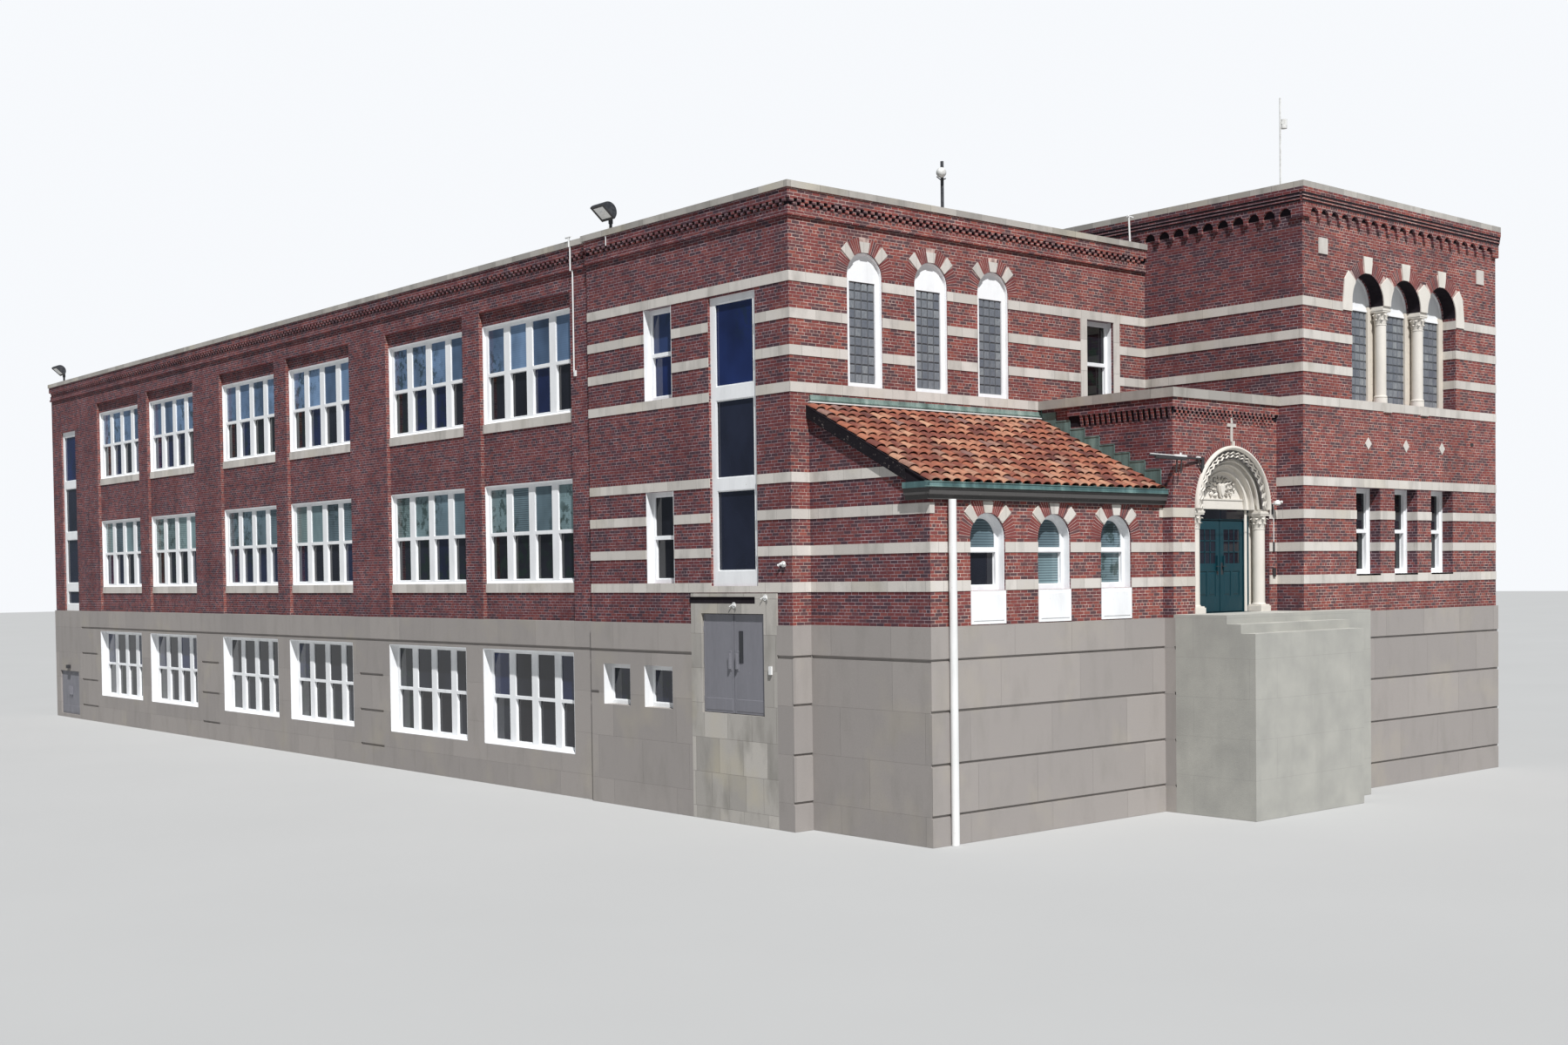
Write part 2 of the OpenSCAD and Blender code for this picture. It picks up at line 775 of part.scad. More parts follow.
module stone_trim() {
    color(limestone) {
        pavilion_bands();
        front_bands();
        leanto_bands();
        entrance_bands();
        tower_bands();
        for (i = [0:bay_count - 1], row = storeys) {
            facing_left(wing_step, bay_y(i)) window_sill(bay_w, z_at(row + bay_sill));
            facing_right(main_w, bay_y(i)) window_sill(bay_w, z_at(row + bay_sill));
        }
        for (i = [0:2]) {
            translate([arch_cx(i), 0, z_at(storey_rows + sill_row + upper_spring)]) arch_stones(arch_w / 2);
            translate([arch_cx(i), -leanto_d, z_at(leanto_sill + leanto_spring)]) arch_stones(arch_w / 2);
        }
        for (side = [-1, 1]) {
            translate([tower_cx + side * plaque_off, -tower_d, z_at(plaque_row)])
                keystone(plaque_w, plaque_w, plaque_w);
        }
        for (i = [0:2]) translate([tower_wx(i), -tower_d, z_at(lozenge_row)]) lozenge();
        translate([portal_x - cross_off, -entrance_d, z_at(cross_row)]) cross();
    }
}

// A flat stone with four corners
module lozenge() {
    rotate([90, 0, 0]) linear_extrude(trim_out) polygon([[-lozenge_half[0], 0], [0, -lozenge_half[1]],
        [lozenge_half[0], 0], [0, lozenge_half[1]]]);
}

// A plain cross, its foot at z = 0
module cross() {
    keystone(cross_bar, cross_bar, cross_h);
    for (side = [-1, 1])
        translate([side * (cross_bar + cross_arm) / 4, 0, cross_h * 0.62])
            keystone((cross_arm - cross_bar) / 2, (cross_arm - cross_bar) / 2, cross_bar);
}

// White window frames of the classroom side
module left_windows() {
    color(trim_white) {
        for (i = [0:bay_count - 1]) facing_left(wing_step, bay_y(i)) bay_frames();
        for (row = storeys)
            facing_left(0, small_y) sash_frame(small_w, z_at(row + sill_row),
                z_at(row + sill_row + window_rows));
        facing_left(0, stair_y) stair_frame(stair_lights, stair_foot, stair_top);
        facing_left(wing_step, far_stair_y)
            stair_frame(far_stair_lights, far_stair_foot, far_stair_top);
        for (y = low_window_ys)
            facing_left(0, y) plain_frame(low_window_w, z_at(side_foot), z_at(low_window_top));
    }
}

// A tall window over two storeys, with cross panels at the floors
module stair_frame(lights, foot, top) {
    bar = 75;
    difference() {
        block(-stair_w / 2, stair_w / 2, stair_inset, stair_inset + frame_d, z_at(foot), z_at(top));
        for (span = lights)
            block(-stair_w / 2 + bar, stair_w / 2 - bar, stair_inset - cut, stair_inset + frame_d + cut,
                z_at(span[0]), z_at(span[1]));
    }
}

module rear_windows() {
    color(trim_white) {
        for (i = [0:bay_count - 1]) facing_right(main_w, bay_y(i)) bay_frames();
        for (x = back_bay_xs, row = storeys)
            facing_back(x, main_len)
                bank_frame(bay_w, z_at(row + bay_sill), z_at(row + bay_sill + bay_rows), frame_in);
    }
}

// An arched frame with a meeting rail, round a lower and an arched upper pane
module arched_frame(w, spring, rail) {
    difference() {
        arched_plate(w, spring, frame_d);
        translate([0, -cut, frame_w]) difference() {
            arched_plate(w - 2 * frame_w, spring - frame_w, frame_d + 2 * cut);
            block(-w, w, -cut, frame_d + 3 * cut, rail - frame_w, rail - frame_w + rail_h);
        }
    }
}

// An arched frame round a straight light, with a closed panel in its head
module panel_frame(w, spring) {
    difference() {
        arched_plate(w, spring, frame_d);
        block(panel_casing - w / 2, w / 2 - panel_casing, -cut, frame_d + cut, frame_w,
            spring - rows(head_panel));
    }
}

module front_windows() {
    color(trim_white) {
        for (i = [0:2]) {
            translate([arch_cx(i), -leanto_d + frame_in, z_at(leanto_sill)])
                arched_frame(arch_w, rows(leanto_spring), rows(leanto_rail));
            translate([arch_cx(i), panel_in_front, z_at(storey_rows + sill_row)])
                panel_frame(arch_w, rows(upper_spring));
        }
        translate([plain_x, 0, 0]) sash_frame(plain_w, z_at(storey_rows + sill_row),
            z_at(storey_rows + sill_row + window_rows));
    }
}

module tower_windows() {
    color(trim_white) {
        for (i = [0:2])
            translate([tower_wx(i), -tower_d, 0])
                sash_frame(tower_window_w, z_at(sill_row), z_at(sill_row + window_rows), tower_glass_in);
    }
}

module window_glass() {
    color(glass) {
        for (i = [0:bay_count - 1]) {
            facing_left(wing_step, bay_y(i)) bay_panes();
            facing_right(main_w, bay_y(i)) bay_panes();
        }
        for (row = storeys) {
            facing_left(0, small_y)
                pane(small_w, z_at(row + sill_row), z_at(row + sill_row + window_rows), frame_in);
            for (x = back_bay_xs)
                facing_back(x, main_len)
                    pane(bay_w, z_at(row + bay_sill), z_at(row + bay_sill + bay_rows), frame_in);
        }
        for (y = low_window_ys)
            facing_left(0, y) pane(low_window_w, z_at(side_foot), z_at(low_window_top), frame_in);
        facing_left(0, stair_y) pane(stair_w, z_at(stair_foot), z_at(stair_top), stair_inset);
        facing_left(wing_step, far_stair_y)
            pane(stair_w, z_at(far_stair_foot), z_at(far_stair_top), stair_inset);
        for (i = [0:2]) {
            translate([arch_cx(i), -leanto_d + frame_in + frame_d, z_at(leanto_sill)])
                arched_plate(arch_w, rows(leanto_spring), glass_t);
            translate([tower_wx(i), -tower_d, 0])
                pane(tower_window_w, z_at(sill_row), z_at(sill_row + window_rows), tower_glass_in);
        }
        translate([plain_x, 0, 0]) pane(plain_w, z_at(storey_rows + sill_row),
            z_at(storey_rows + sill_row + window_rows), frame_in);
    }
}

module glass_blocks() {
    color(block_glass) {
        for (i = [0:2]) {
            translate([arch_cx(i), panel_in_front + frame_d, z_at(storey_rows + sill_row)])
                arched_plate(arch_w, rows(upper_spring), block_t);
            translate([tower_wx(i), -tower_d + block_in, belfry_z])
                arched_plate(2 * belfry_r, rows(belfry_spring), block_t);
        }
    }
}

// Stone frame of the side door, with the wall below its sill
module side_door_surround() {
    color(limestone) difference() {
        block(-base_out, wall_t, wall_t, side_surround_end, 0, z_at(side_stone_top));
        block(-base_out - cut, wall_t + cut, side_door_y, side_door_end,
            z_at(side_foot), z_at(side_head));
        block(-base_out - cut, -base_out + groove_d, slot_start, side_surround_end + cut,
            z_at(slot_rows[0]), z_at(slot_rows[1]));
    }
}

// One door leaf with its hinge edge at x = 0 and its face at y = 0
module door_leaf(w, z0, z1) {
    pull_h = 170;
    pull_d = 30;
    block(door_gap, w - door_gap * 0.75, 0, leaf_t, z0 + door_gap, z1 - door_gap);
    block(w - 70, w - 50, -pull_d, 1, z0 + (z1 - z0) * 0.45, z0 + (z1 - z0) * 0.45 + pull_h);
    for (share = [0.12, 0.5, 0.82])
        translate([door_gap, 0, z0 + (z1 - z0) * share]) cylinder(d = knuckle_d, h = knuckle_h);
}

module side_leaf(w, x, y, z0, z1) { facing_left(x, y) door_leaf(w, z0, z1); }

module side_door_left() {
    color(door_grey) side_leaf(side_leaf_w, side_face, side_door_end, z_at(side_foot), z_at(side_head));
}

module side_door_right() {
    color(door_grey) translate([0, 2 * side_door_y, 0]) mirror([0, 1, 0])
        side_leaf(side_leaf_w, side_face, side_door_y, z_at(side_foot), z_at(side_head));
}

module far_door_surround() {
    color(base_stone) difference() {
        block(wing_step - base_out, wing_step + wall_t, far_door_start, inner_end, 0, z_at(0));
        block(-base_out, wing_step + wall_t + cut, far_door_start - cut, inner_end + cut,
            z_at(basement_row), z_at(far_head));
    }
}

module far_door_left() {
    color(door_grey) side_leaf(far_leaf_w, far_face, inner_end, z_at(basement_row), z_at(far_head));
}

module far_door_right() {
    color(door_grey) translate([0, 2 * far_door_start, 0]) mirror([0, 1, 0])
        side_leaf(far_leaf_w, far_face, far_door_start, z_at(basement_row), z_at(far_head));
}

// Stone base of the entrance block, with the sill that carries the doors
module entrance_base() {
    color(base_stone) {
        difference() {
            block(entrance_x, tower_x - base_out, -entrance_d - base_out, -entrance_d + wall_t, 0, z_at(0));
            front_grooves(entrance_x, tower_x, -entrance_d - base_out);
        }
        block(entrance_x, entrance_x + wall_t, -entrance_d + wall_t, -base_out, 0, z_at(0));
    }
}

module entrance_piers() {
    color(brick) {
        block(entrance_x, portal_x - portal_r, -entrance_d, -entrance_d + wall_t,
            z_at(0), z_at(portal_spring));
        block(portal_x + portal_r, tower_x, -entrance_d, -entrance_d + wall_t,
            z_at(0), z_at(portal_spring));
    }
}

module entrance_wall() {
    color(brick) {
        difference() {
            block(entrance_x, tower_x, -entrance_d, -entrance_d + wall_t,
                z_at(portal_spring), z_at(entrance_top - band_rows));
            translate([portal_x, -entrance_d - 200, z_at(portal_spring)])
                rotate([-90, 0, 0]) cylinder(r = portal_r, h = wall_t + 400);
        }
        block(entrance_x, entrance_x + wall_t, -entrance_d + wall_t, 0,
            z_at(0), z_at(entrance_top - band_rows));
    }
}

module portal_jambs() {
    color(limestone) translate([portal_x, 0, 0]) for (side = [-1, 1]) {
        x0 = side > 0 ? door_inner : -portal_r;
        x1 = side > 0 ? portal_r : -door_inner;
        block(x0, x1, -entrance_d + portal_d, -entrance_d + wall_t, z_at(0), z_at(portal_spring));
        block(x0, x1, -entrance_d, -entrance_d + portal_d, z_at(0), z_at(landing_row));
    }
}

// Stone rings that step back to the carved panel over the doors
module portal_arch() {
    ring_step = (portal_r - tympanum_r) / portal_rings;
    color(limestone) translate([portal_x, -entrance_d, z_at(portal_spring)]) {
        intersection() {
            block(-portal_r, portal_r, 0, wall_t, 0, portal_r);
            rotate([-90, 0, 0]) difference() {
                cylinder(r = portal_r, h = wall_t);
                for (i = [0:portal_rings - 1])
                    translate([0, 0, -cut])
                        cylinder(r = portal_r - (i + 1) * ring_step,
                            h = cut + (i + 1) * portal_d / portal_rings);
            }
        }
    }
}

// A column with its base and capital, standing on z = 0
module stone_column(d, h) {
    base_h = d * 0.5;
    capital_h = d * 1.5;
    abacus_h = d * 0.5;
    half = d * 0.59;
    cylinder(d = d, h = h);
    cylinder(d = 2 * half, h = base_h);
    translate([0, 0, h - capital_h]) cylinder(d1 = d, d2 = 2 * half, h = capital_h - abacus_h);
    translate([-half, -half, h - abacus_h]) cube([2 * half, 2 * half, abacus_h]);
}

module portal_columns() {
    color(limestone) for (side = [-1, 1])
        translate([portal_x + side * column_off, -entrance_d + portal_d / 2, z_at(landing_row)])
            stone_column(column_d, rows(portal_spring - landing_row));
}

module entrance_frame() {
    color(teal) translate([portal_x, 0, 0]) difference() {
        block(-door_inner, door_inner, -entrance_d + portal_d, -entrance_d + wall_t,
            z_at(0), z_at(portal_spring));
        block(-leaf_w, leaf_w, -big, 0, z_at(landing_row), z_at(door_head));
    }
}

module entrance_leaf() {
    door_leaf(leaf_w, z_at(landing_row), z_at(door_head));
}

module entrance_door_left() {
    color(teal) translate([portal_x - leaf_w, -leaf_face, 0]) entrance_leaf();
}

module entrance_door_right() {
    color(teal) translate([portal_x + leaf_w, -leaf_face, 0]) mirror([1, 0, 0]) entrance_leaf();
}

// Landing before the doors, with two steps along its front
module landing_steps() {
    low = tower_x - entrance_x + landing_past;
    color(concrete) difference() {
        union() {
            translate([entrance_x, -landing_front, 0]) cube([low, landing_d, z_at(landing_row)]);
            for (i = [1:2])
                translate([entrance_x, -landing_front - i * tread_d, 0])
                    cube([low - landing_past + step_past, i * tread_d + cut,
                        z_at(landing_row - i * riser_rows)]);
        }
        block(tower_x - base_out, big, -tower_d - base_out, 0, -cut, big);
        block(0, tower_x, -entrance_d - base_out, 0, -cut, z_at(0));
        block(0, portal_x - portal_r, -entrance_d, 0, -cut, big);
        block(portal_x + portal_r, big, -entrance_d, 0, -cut, big);
    }
}

module leanto_base() {
    color(base_stone) {
        difference() {
            block(leanto_x - base_out, entrance_x, -leanto_d - base_out, -leanto_d + wall_t, 0, z_at(0));
            front_grooves(leanto_x - base_out, entrance_x, -leanto_d - base_out);
            groove(leanto_x - base_out, -leanto_d - base_out, -leanto_d + wall_t + cut, groove_rows[0]);
        }
        difference() {
            block(leanto_x - base_out, leanto_x + wall_t, -leanto_d + wall_t, -base_out, 0, z_at(0));
            groove(leanto_x - base_out, -leanto_d, 0, groove_rows[0]);
        }
    }
}

function roof_z(y) = z_at(roof_high) + y * (z_at(roof_high) - z_at(roof_low)) / leanto_d;

module leanto_walls() {
    color(brick) difference() {
        union() {
            block(leanto_x, entrance_x, -leanto_d, -leanto_d + wall_t, z_at(0), z_at(roof_high));
            block(leanto_x, leanto_x + wall_t, -leanto_d + wall_t, 0, z_at(0), z_at(roof_high));
        }
        leanto_cuts();
        above_slope(roof_t);
    }
}

// Everything above a slope that lies a given depth under the roof
module above_slope(depth) {
    far = leanto_d + 800;
    rotate([90, 0, 90]) linear_extrude(entrance_x + 400) polygon([
        [200, roof_z(200) - depth], [-far, roof_z(-far) - depth],
        [-far, big], [200, big]]);
}

module leanto_roof() {
    color(clay_tile) intersection() {
        block(leanto_x - verge_out, entrance_x, -leanto_d, 0, 0, big);
        difference() {
            above_slope(roof_t);
            above_slope(0);
        }
    }
}

// Dark board that closes the left edge of the roof
module rake_board() {
    color(dark_paint) intersection() {
        block(leanto_x - verge_out, leanto_x, -leanto_d + return_len, 0, 0, big);
        difference() {
            above_slope(roof_t + rake_h);
            above_slope(roof_t);
        }
    }
}

// Gutter along the eaves, with its return round the left corner
module gutter() {
    color(copper_green) difference() {
        eave_run(gutter_w, gutter_top - gutter_h, gutter_top);
        eave_run_inner(gutter_w - gutter_wall, gutter_top - gutter_h + gutter_wall, gutter_top + cut);
    }
}

// A strip in front of the eaves and round the left corner
module eave_run(w, z0, z1) {
    block(leanto_x - w, entrance_x, -leanto_d - w, -leanto_d, z0, z1);
    block(leanto_x - w, leanto_x, -leanto_d, -leanto_d + return_len, z0, z1);
}

module eave_run_inner(w, z0, z1) {
    block(leanto_x - w, entrance_x - gutter_wall, -leanto_d - w, -leanto_d - gutter_wall, z0, z1);
}

module eave_moulding() {
    color(beige_paint) {
        eave_run(gutter_w - moulding_lip, gutter_top - gutter_h - moulding_h * 0.6, gutter_top - gutter_h);
        eave_run(gutter_w / 2, gutter_top - gutter_h - moulding_h,
            gutter_top - gutter_h - moulding_h * 0.6);
    }
}

module downspout() {
    color(metal_white) translate([spout_x, -leanto_d - base_out - spout_d / 2, 0])
        cylinder(d = spout_d, h = gutter_top - gutter_h - moulding_h);
}

// Stone base of the tower, its three walls as one piece
module tower_base() {
    color(base_stone) {
        difference() {
            block(tower_x - base_out, tower_end + base_out, -tower_d - base_out, -tower_d + wall_t, 0, z_at(0));
            front_grooves(tower_x - base_out, tower_end + base_out, -tower_d - base_out);
        }
        block(tower_x, tower_x + wall_t, -tower_d + wall_t, wall_t, 0, z_at(0));
        block(tower_x - base_out, tower_x, -tower_d + wall_t, -base_out, 0, z_at(0));
        block(tower_end - wall_t, tower_end + base_out, -tower_d + wall_t, tower_back_d, 0, z_at(0));
    }
}

module tower_front() {
    color(brick) difference() {
        block(tower_x, tower_end, -tower_d, -tower_d + wall_t, z_at(0), z_at(tower_wall_row));
        tower_front_cuts();
    }
}

module tower_sides() {
    color(brick) {
        block(tower_x, tower_x + wall_t, -tower_d + wall_t, wall_t, z_at(0), z_at(tower_wall_row));
        block(tower_end - wall_t, tower_end, -tower_d + wall_t, tower_back_d,
            z_at(0), z_at(tower_wall_row));
    }
}

// All the space under a level
module below(row) { block(-big, big, -big, big, -cut, z_at(row)); }

// A ring of wall that stands out by a given amount from the tower faces
module tower_ring(out, row0, row1) {
    difference() {
        block(tower_x - out, tower_end + out, -tower_d - out, tower_back_d + out, 0, z_at(row1));
        block(tower_x + wall_t, tower_end - wall_t, -tower_d + wall_t, tower_back_d - wall_t, -cut, big);
        below(row0);
    }
}

// Small round arches of the corbel table along one face of given width
module corbel_arches(w) {
    count = floor((w - corbel_r) / corbel_pitch);
    rotate([90, 0, 0]) linear_extrude(corbel_out) difference() {
        translate([-w / 2, z_at(corbel_foot)]) square([w, rows(tower_steps_row - corbel_foot)]);
        for (i = [0:count - 1]) translate([(i - (count - 1) / 2) * corbel_pitch, z_at(corbel_foot)]) {
            translate([-corbel_r, -cut]) square([2 * corbel_r, rows(corbel_spring_rows) + cut]);
            translate([0, rows(corbel_spring_rows)]) circle(r = corbel_r);
        }
    }
}

module tower_top() {
    step_rows = (tower_rim_row - tower_steps_row) / cornice_steps;
    color(brick) {
        tower_ring(0, tower_wall_row, tower_steps_row);
        for (i = [1:cornice_steps])
            tower_ring(corbel_out + i * 5, tower_steps_row + (i - 1) * step_rows,
                tower_steps_row + i * step_rows);
        difference() {
            corbel_table();
            main_coping();
        }
    }
}

// The corbel arches on all four faces of the tower
module corbel_table() {
    middle_y = (tower_back_d - tower_d) / 2;
    translate([tower_cx, -tower_d, 0]) corbel_arches(tower_w + 2 * corbel_out);
    translate([tower_cx, tower_back_d, 0]) rotate([0, 0, 180]) corbel_arches(tower_w + 2 * corbel_out);
    translate([tower_x, middle_y, 0]) rotate([0, 0, -90]) corbel_arches(tower_d + tower_back_d);
    translate([tower_end, middle_y, 0]) rotate([0, 0, 90]) corbel_arches(tower_d + tower_back_d);
}

// Stone between, beside and over the triple arches
module tower_arches() {
    spring_z = belfry_z + rows(belfry_spring);
    color(limestone) difference() {
        translate([0, -tower_d, spring_z]) {
            for (side = [-1, 1]) {
                translate([tower_cx + side * tower_pitch / 2, 0, 0]) kneeler();
                translate([tower_cx + side * tower_pitch, 0, 0]) end_kneeler(side);
            }
            for (i = [0:2])
                translate([tower_wx(i), 0, belfry_r]) keystone(belfry_key[0], belfry_key[1], belfry_key[2]);
        }
        translate([0, -2 * trim_out, 0]) tower_front_cuts();
    }
}

// A pointed stone that carries two neighbouring arches, its foot at their spring line
module kneeler() {
    shoulder = rows(kneeler_rows[1]);
    rotate([90, 0, 0]) linear_extrude(2 * trim_out)
        polygon([[-kneeler_half, 0], [kneeler_half, 0], [kneeler_half, shoulder],
            [0, rows(kneeler_rows[2])], [-kneeler_half, shoulder]]);
}

// The pointed stone beside an outer arch, drawn from the arch's centre
module end_kneeler(side) {
    shoulder = rows(kneeler_rows[1]);
    outer = belfry_r + kneeler_out;
    rotate([90, 0, 0]) linear_extrude(2 * trim_out)
        polygon([[side * outer, rows(kneeler_rows[0])], [side * outer, -rows(1)],
            [side * (outer - end_kneeler_steps[0]), shoulder],
            [side * (outer - end_kneeler_steps[1]), rows(kneeler_rows[2])],
            [side * (outer - end_kneeler_steps[2]), shoulder],
            [side * (outer - end_kneeler_steps[3]), rows(kneeler_rows[0])]]);
}

module tower_columns() {
    color(limestone) for (side = [-0.5, 0.5])
        translate([tower_cx + side * tower_pitch, -tower_d + belfry_column_d * column_set, belfry_z])
            stone_column(belfry_column_d, rows(belfry_spring));
}

// Posts between the glass block panels, behind the columns, and half posts at the outer jambs
module tower_posts() {
    top = belfry_z + rows(belfry_spring);
    stem = tower_pitch - 2 * belfry_r;
    color(limestone) translate([tower_cx, -tower_d, 0]) {
        for (side = [-0.5, 0.5]) translate([side * tower_pitch, 0, 0]) {
            block(-post_w / 2, post_w / 2, post_in, block_in, belfry_z, top);
            block(-stem / 2, stem / 2, block_in, wall_t, belfry_z, top);
        }
        for (side = [-1, 1]) translate([side * (tower_pitch + belfry_r - jamb_w / 2), 0, 0])
            block(-jamb_w / 2, jamb_w / 2, post_in, block_in, belfry_z, top);
    }
}

// A floodlight with a half-round back in a socket on its post, turned down towards the left
module floodlight() {
    cylinder(d = pole_d, h = light_post_h);
    translate([0, 0, light_post_h + socket_span[0]])
        cylinder(d = socket_d, h = socket_span[1] - socket_span[0]);
    translate([-light_lean, light_w / 2, light_post_h + light_rise])
        rotate([90, 0, 0]) linear_extrude(light_w) rotate(light_tilt) difference() {
            circle(r = light_r);
            translate([-2 * light_r, -light_r]) square(2 * light_r);
        }
}

// A thin mast with a small receiver on an arm
module mast() {
    cylinder(d = mast_d, h = mast_h);
    translate([0, 0, mast_h * 0.72]) {
        rotate([0, 90, 0]) cylinder(d = arm_d, h = receiver_out);
        translate([receiver_out, 0, -receiver_h / 2]) cylinder(d = receiver_d, h = receiver_h);
    }
}

module camera_pole() {
    cylinder(d = pole_d, h = pole_h);
    translate([dome_at[0], dome_at[1], pole_h + dome_at[2]]) sphere(d = dome_d);
}

// Floodlights, camera pole and mast on the roofs
module roof_fixtures() {
    color(metal_white) {
        for (y = light_ys) translate([light_x, y, z_at(main_top)]) floodlight();
        translate([camera_x, wall_t / 2, z_at(main_top)]) camera_pole();
        translate([tower_x + wall_t / 2, -tower_d + mast_in, z_at(tower_top_row)]) mast();
    }
}

basement_floor();
ground_floor();
upper_floor();
roof_deck();
base_side_walls();
base_end_walls();
pavilion_wall();
side_walls();
end_walls();
stone_copings();
stone_trim();
left_windows();
rear_windows();
front_windows();
tower_windows();
window_glass();
glass_blocks();
side_door_surround();
side_door_left();
side_door_right();
far_door_surround();
far_door_left();
far_door_right();
entrance_base();
entrance_piers();
entrance_wall();
portal_jambs();
portal_arch();
portal_columns();
entrance_frame();
entrance_door_left();
entrance_door_right();
landing_steps();
leanto_base();
leanto_walls();
leanto_roof();
rake_board();
eave_moulding();
gutter();
downspout();
tower_base();
tower_front();
tower_sides();
tower_top();
tower_arches();
tower_columns();
tower_posts();
roof_fixtures();
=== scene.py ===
"""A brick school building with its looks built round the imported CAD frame. Metres, a 1:2 scale model."""

import random
from math import atan2, cos, degrees, hypot, pi, radians, sin, tan, tau

import bmesh
import bpy
from mathutils import Matrix, Vector


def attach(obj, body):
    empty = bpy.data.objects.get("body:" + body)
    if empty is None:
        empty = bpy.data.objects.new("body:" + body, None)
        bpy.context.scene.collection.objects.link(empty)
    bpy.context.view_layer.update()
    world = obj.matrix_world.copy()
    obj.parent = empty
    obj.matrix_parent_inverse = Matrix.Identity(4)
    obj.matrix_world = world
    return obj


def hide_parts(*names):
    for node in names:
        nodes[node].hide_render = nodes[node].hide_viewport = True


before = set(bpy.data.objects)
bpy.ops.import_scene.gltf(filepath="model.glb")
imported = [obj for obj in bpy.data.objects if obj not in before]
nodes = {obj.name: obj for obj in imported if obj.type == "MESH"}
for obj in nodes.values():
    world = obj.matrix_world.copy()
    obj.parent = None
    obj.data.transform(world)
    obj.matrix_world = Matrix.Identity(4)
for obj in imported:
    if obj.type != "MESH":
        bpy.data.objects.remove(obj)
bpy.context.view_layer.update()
rng = random.Random(7)

# Heights: a row is one brick course, and the lowest ground is 62 rows below row 0
COURSE = 0.033867
GROUND_ROW = 62


def z_at(row):
    return (row + GROUND_ROW) * COURSE


def rows(low, high):
    return z_at(low), z_at(high)


LANDING_Z, SPRING, TRANSOM_TOP = z_at(1), z_at(35), z_at(34.8)
LEANTO_SILL, LEANTO_SPRING = rows(10, 25)
UPPER_SILL, UPPER_SPRING = rows(73, 107)
LOWER_LIGHT = rows(13, 43)
EAVE_TOP, ROOF_EDGE, BAND_DROP = z_at(42.4), z_at(132.4), z_at(8)

# Plan: boxes are x from, x to, y of the front and, for the tower, y of the back
MAIN_W, MAIN_LEN, PAVILION = 10, 22.525, 3.59
WING_X, BASE_OUT = 0.05, 0.022
LEANTO = (0.25, 3.815, -1.71)
ENTRANCE = (3.815, 5.75, -1.85)
TOWER = (5.75, 10.15, -2.2, 2.2)
BAY_W, BAY_UNITS, MULLION = 2.085, 4, 0.14
BAY_UNIT = BAY_W / BAY_UNITS
BAY_CLEAR = BAY_UNIT - MULLION
FIRST_BAY, PAIR_PITCH, BAY_PITCH, BACK_PITCH = 4.025, 5.69, 2.505, 3.185
BAYS = [FIRST_BAY + i // 2 * PAIR_PITCH + i % 2 * BAY_PITCH + BAY_W / 2 for i in range(6)]
BACK_BAYS = [MAIN_W / 2 + (i - 1) * BACK_PITCH for i in range(3)]
ARCH_R = 0.25
ARCHES = [1.05 + i * 0.986 for i in range(3)]
TOWER_X, TOWER_PITCH, TOWER_HALF, BELFRY_R = 7.95, 0.845, 0.2625, 0.345
TOWER_WINDOWS = [TOWER_X + (i - 1) * TOWER_PITCH for i in range(3)]
PORTAL_X, ENTRANCE_LEAF = 4.9, 0.45
DOOR_FRAME_Y, TRANSOM_GLASS_Y, LEAF_FACE_Y = -1.68, -1.684, -1.665
POLE_X, POLE_Y = 2.3, 0.079


# Faces: each turns a place along it, out from it and up into x, y and z
def front(y):
    return lambda a, d, z: (a, y - d, z)


def back(y):
    return lambda a, d, z: (a, y + d, z)


def left(x):
    return lambda a, d, z: (x - d, a, z)


def right(x):
    return lambda a, d, z: (x + d, a, z)


MAIN_FRONT, LEANTO_FRONT, TOWER_FRONT = front(0), front(LEANTO[2]), front(TOWER[2])
MAIN_LEFT, WING_LEFT, BASE_LEFT = left(0), left(WING_X), left(-BASE_OUT)
ENTRANCE_FRONT, ENTRANCE_SIDE = front(ENTRANCE[2]), left(ENTRANCE[0])


# Materials
def shade(colour, share, lift=0):
    return tuple(min(1, c * share + lift) for c in colour)


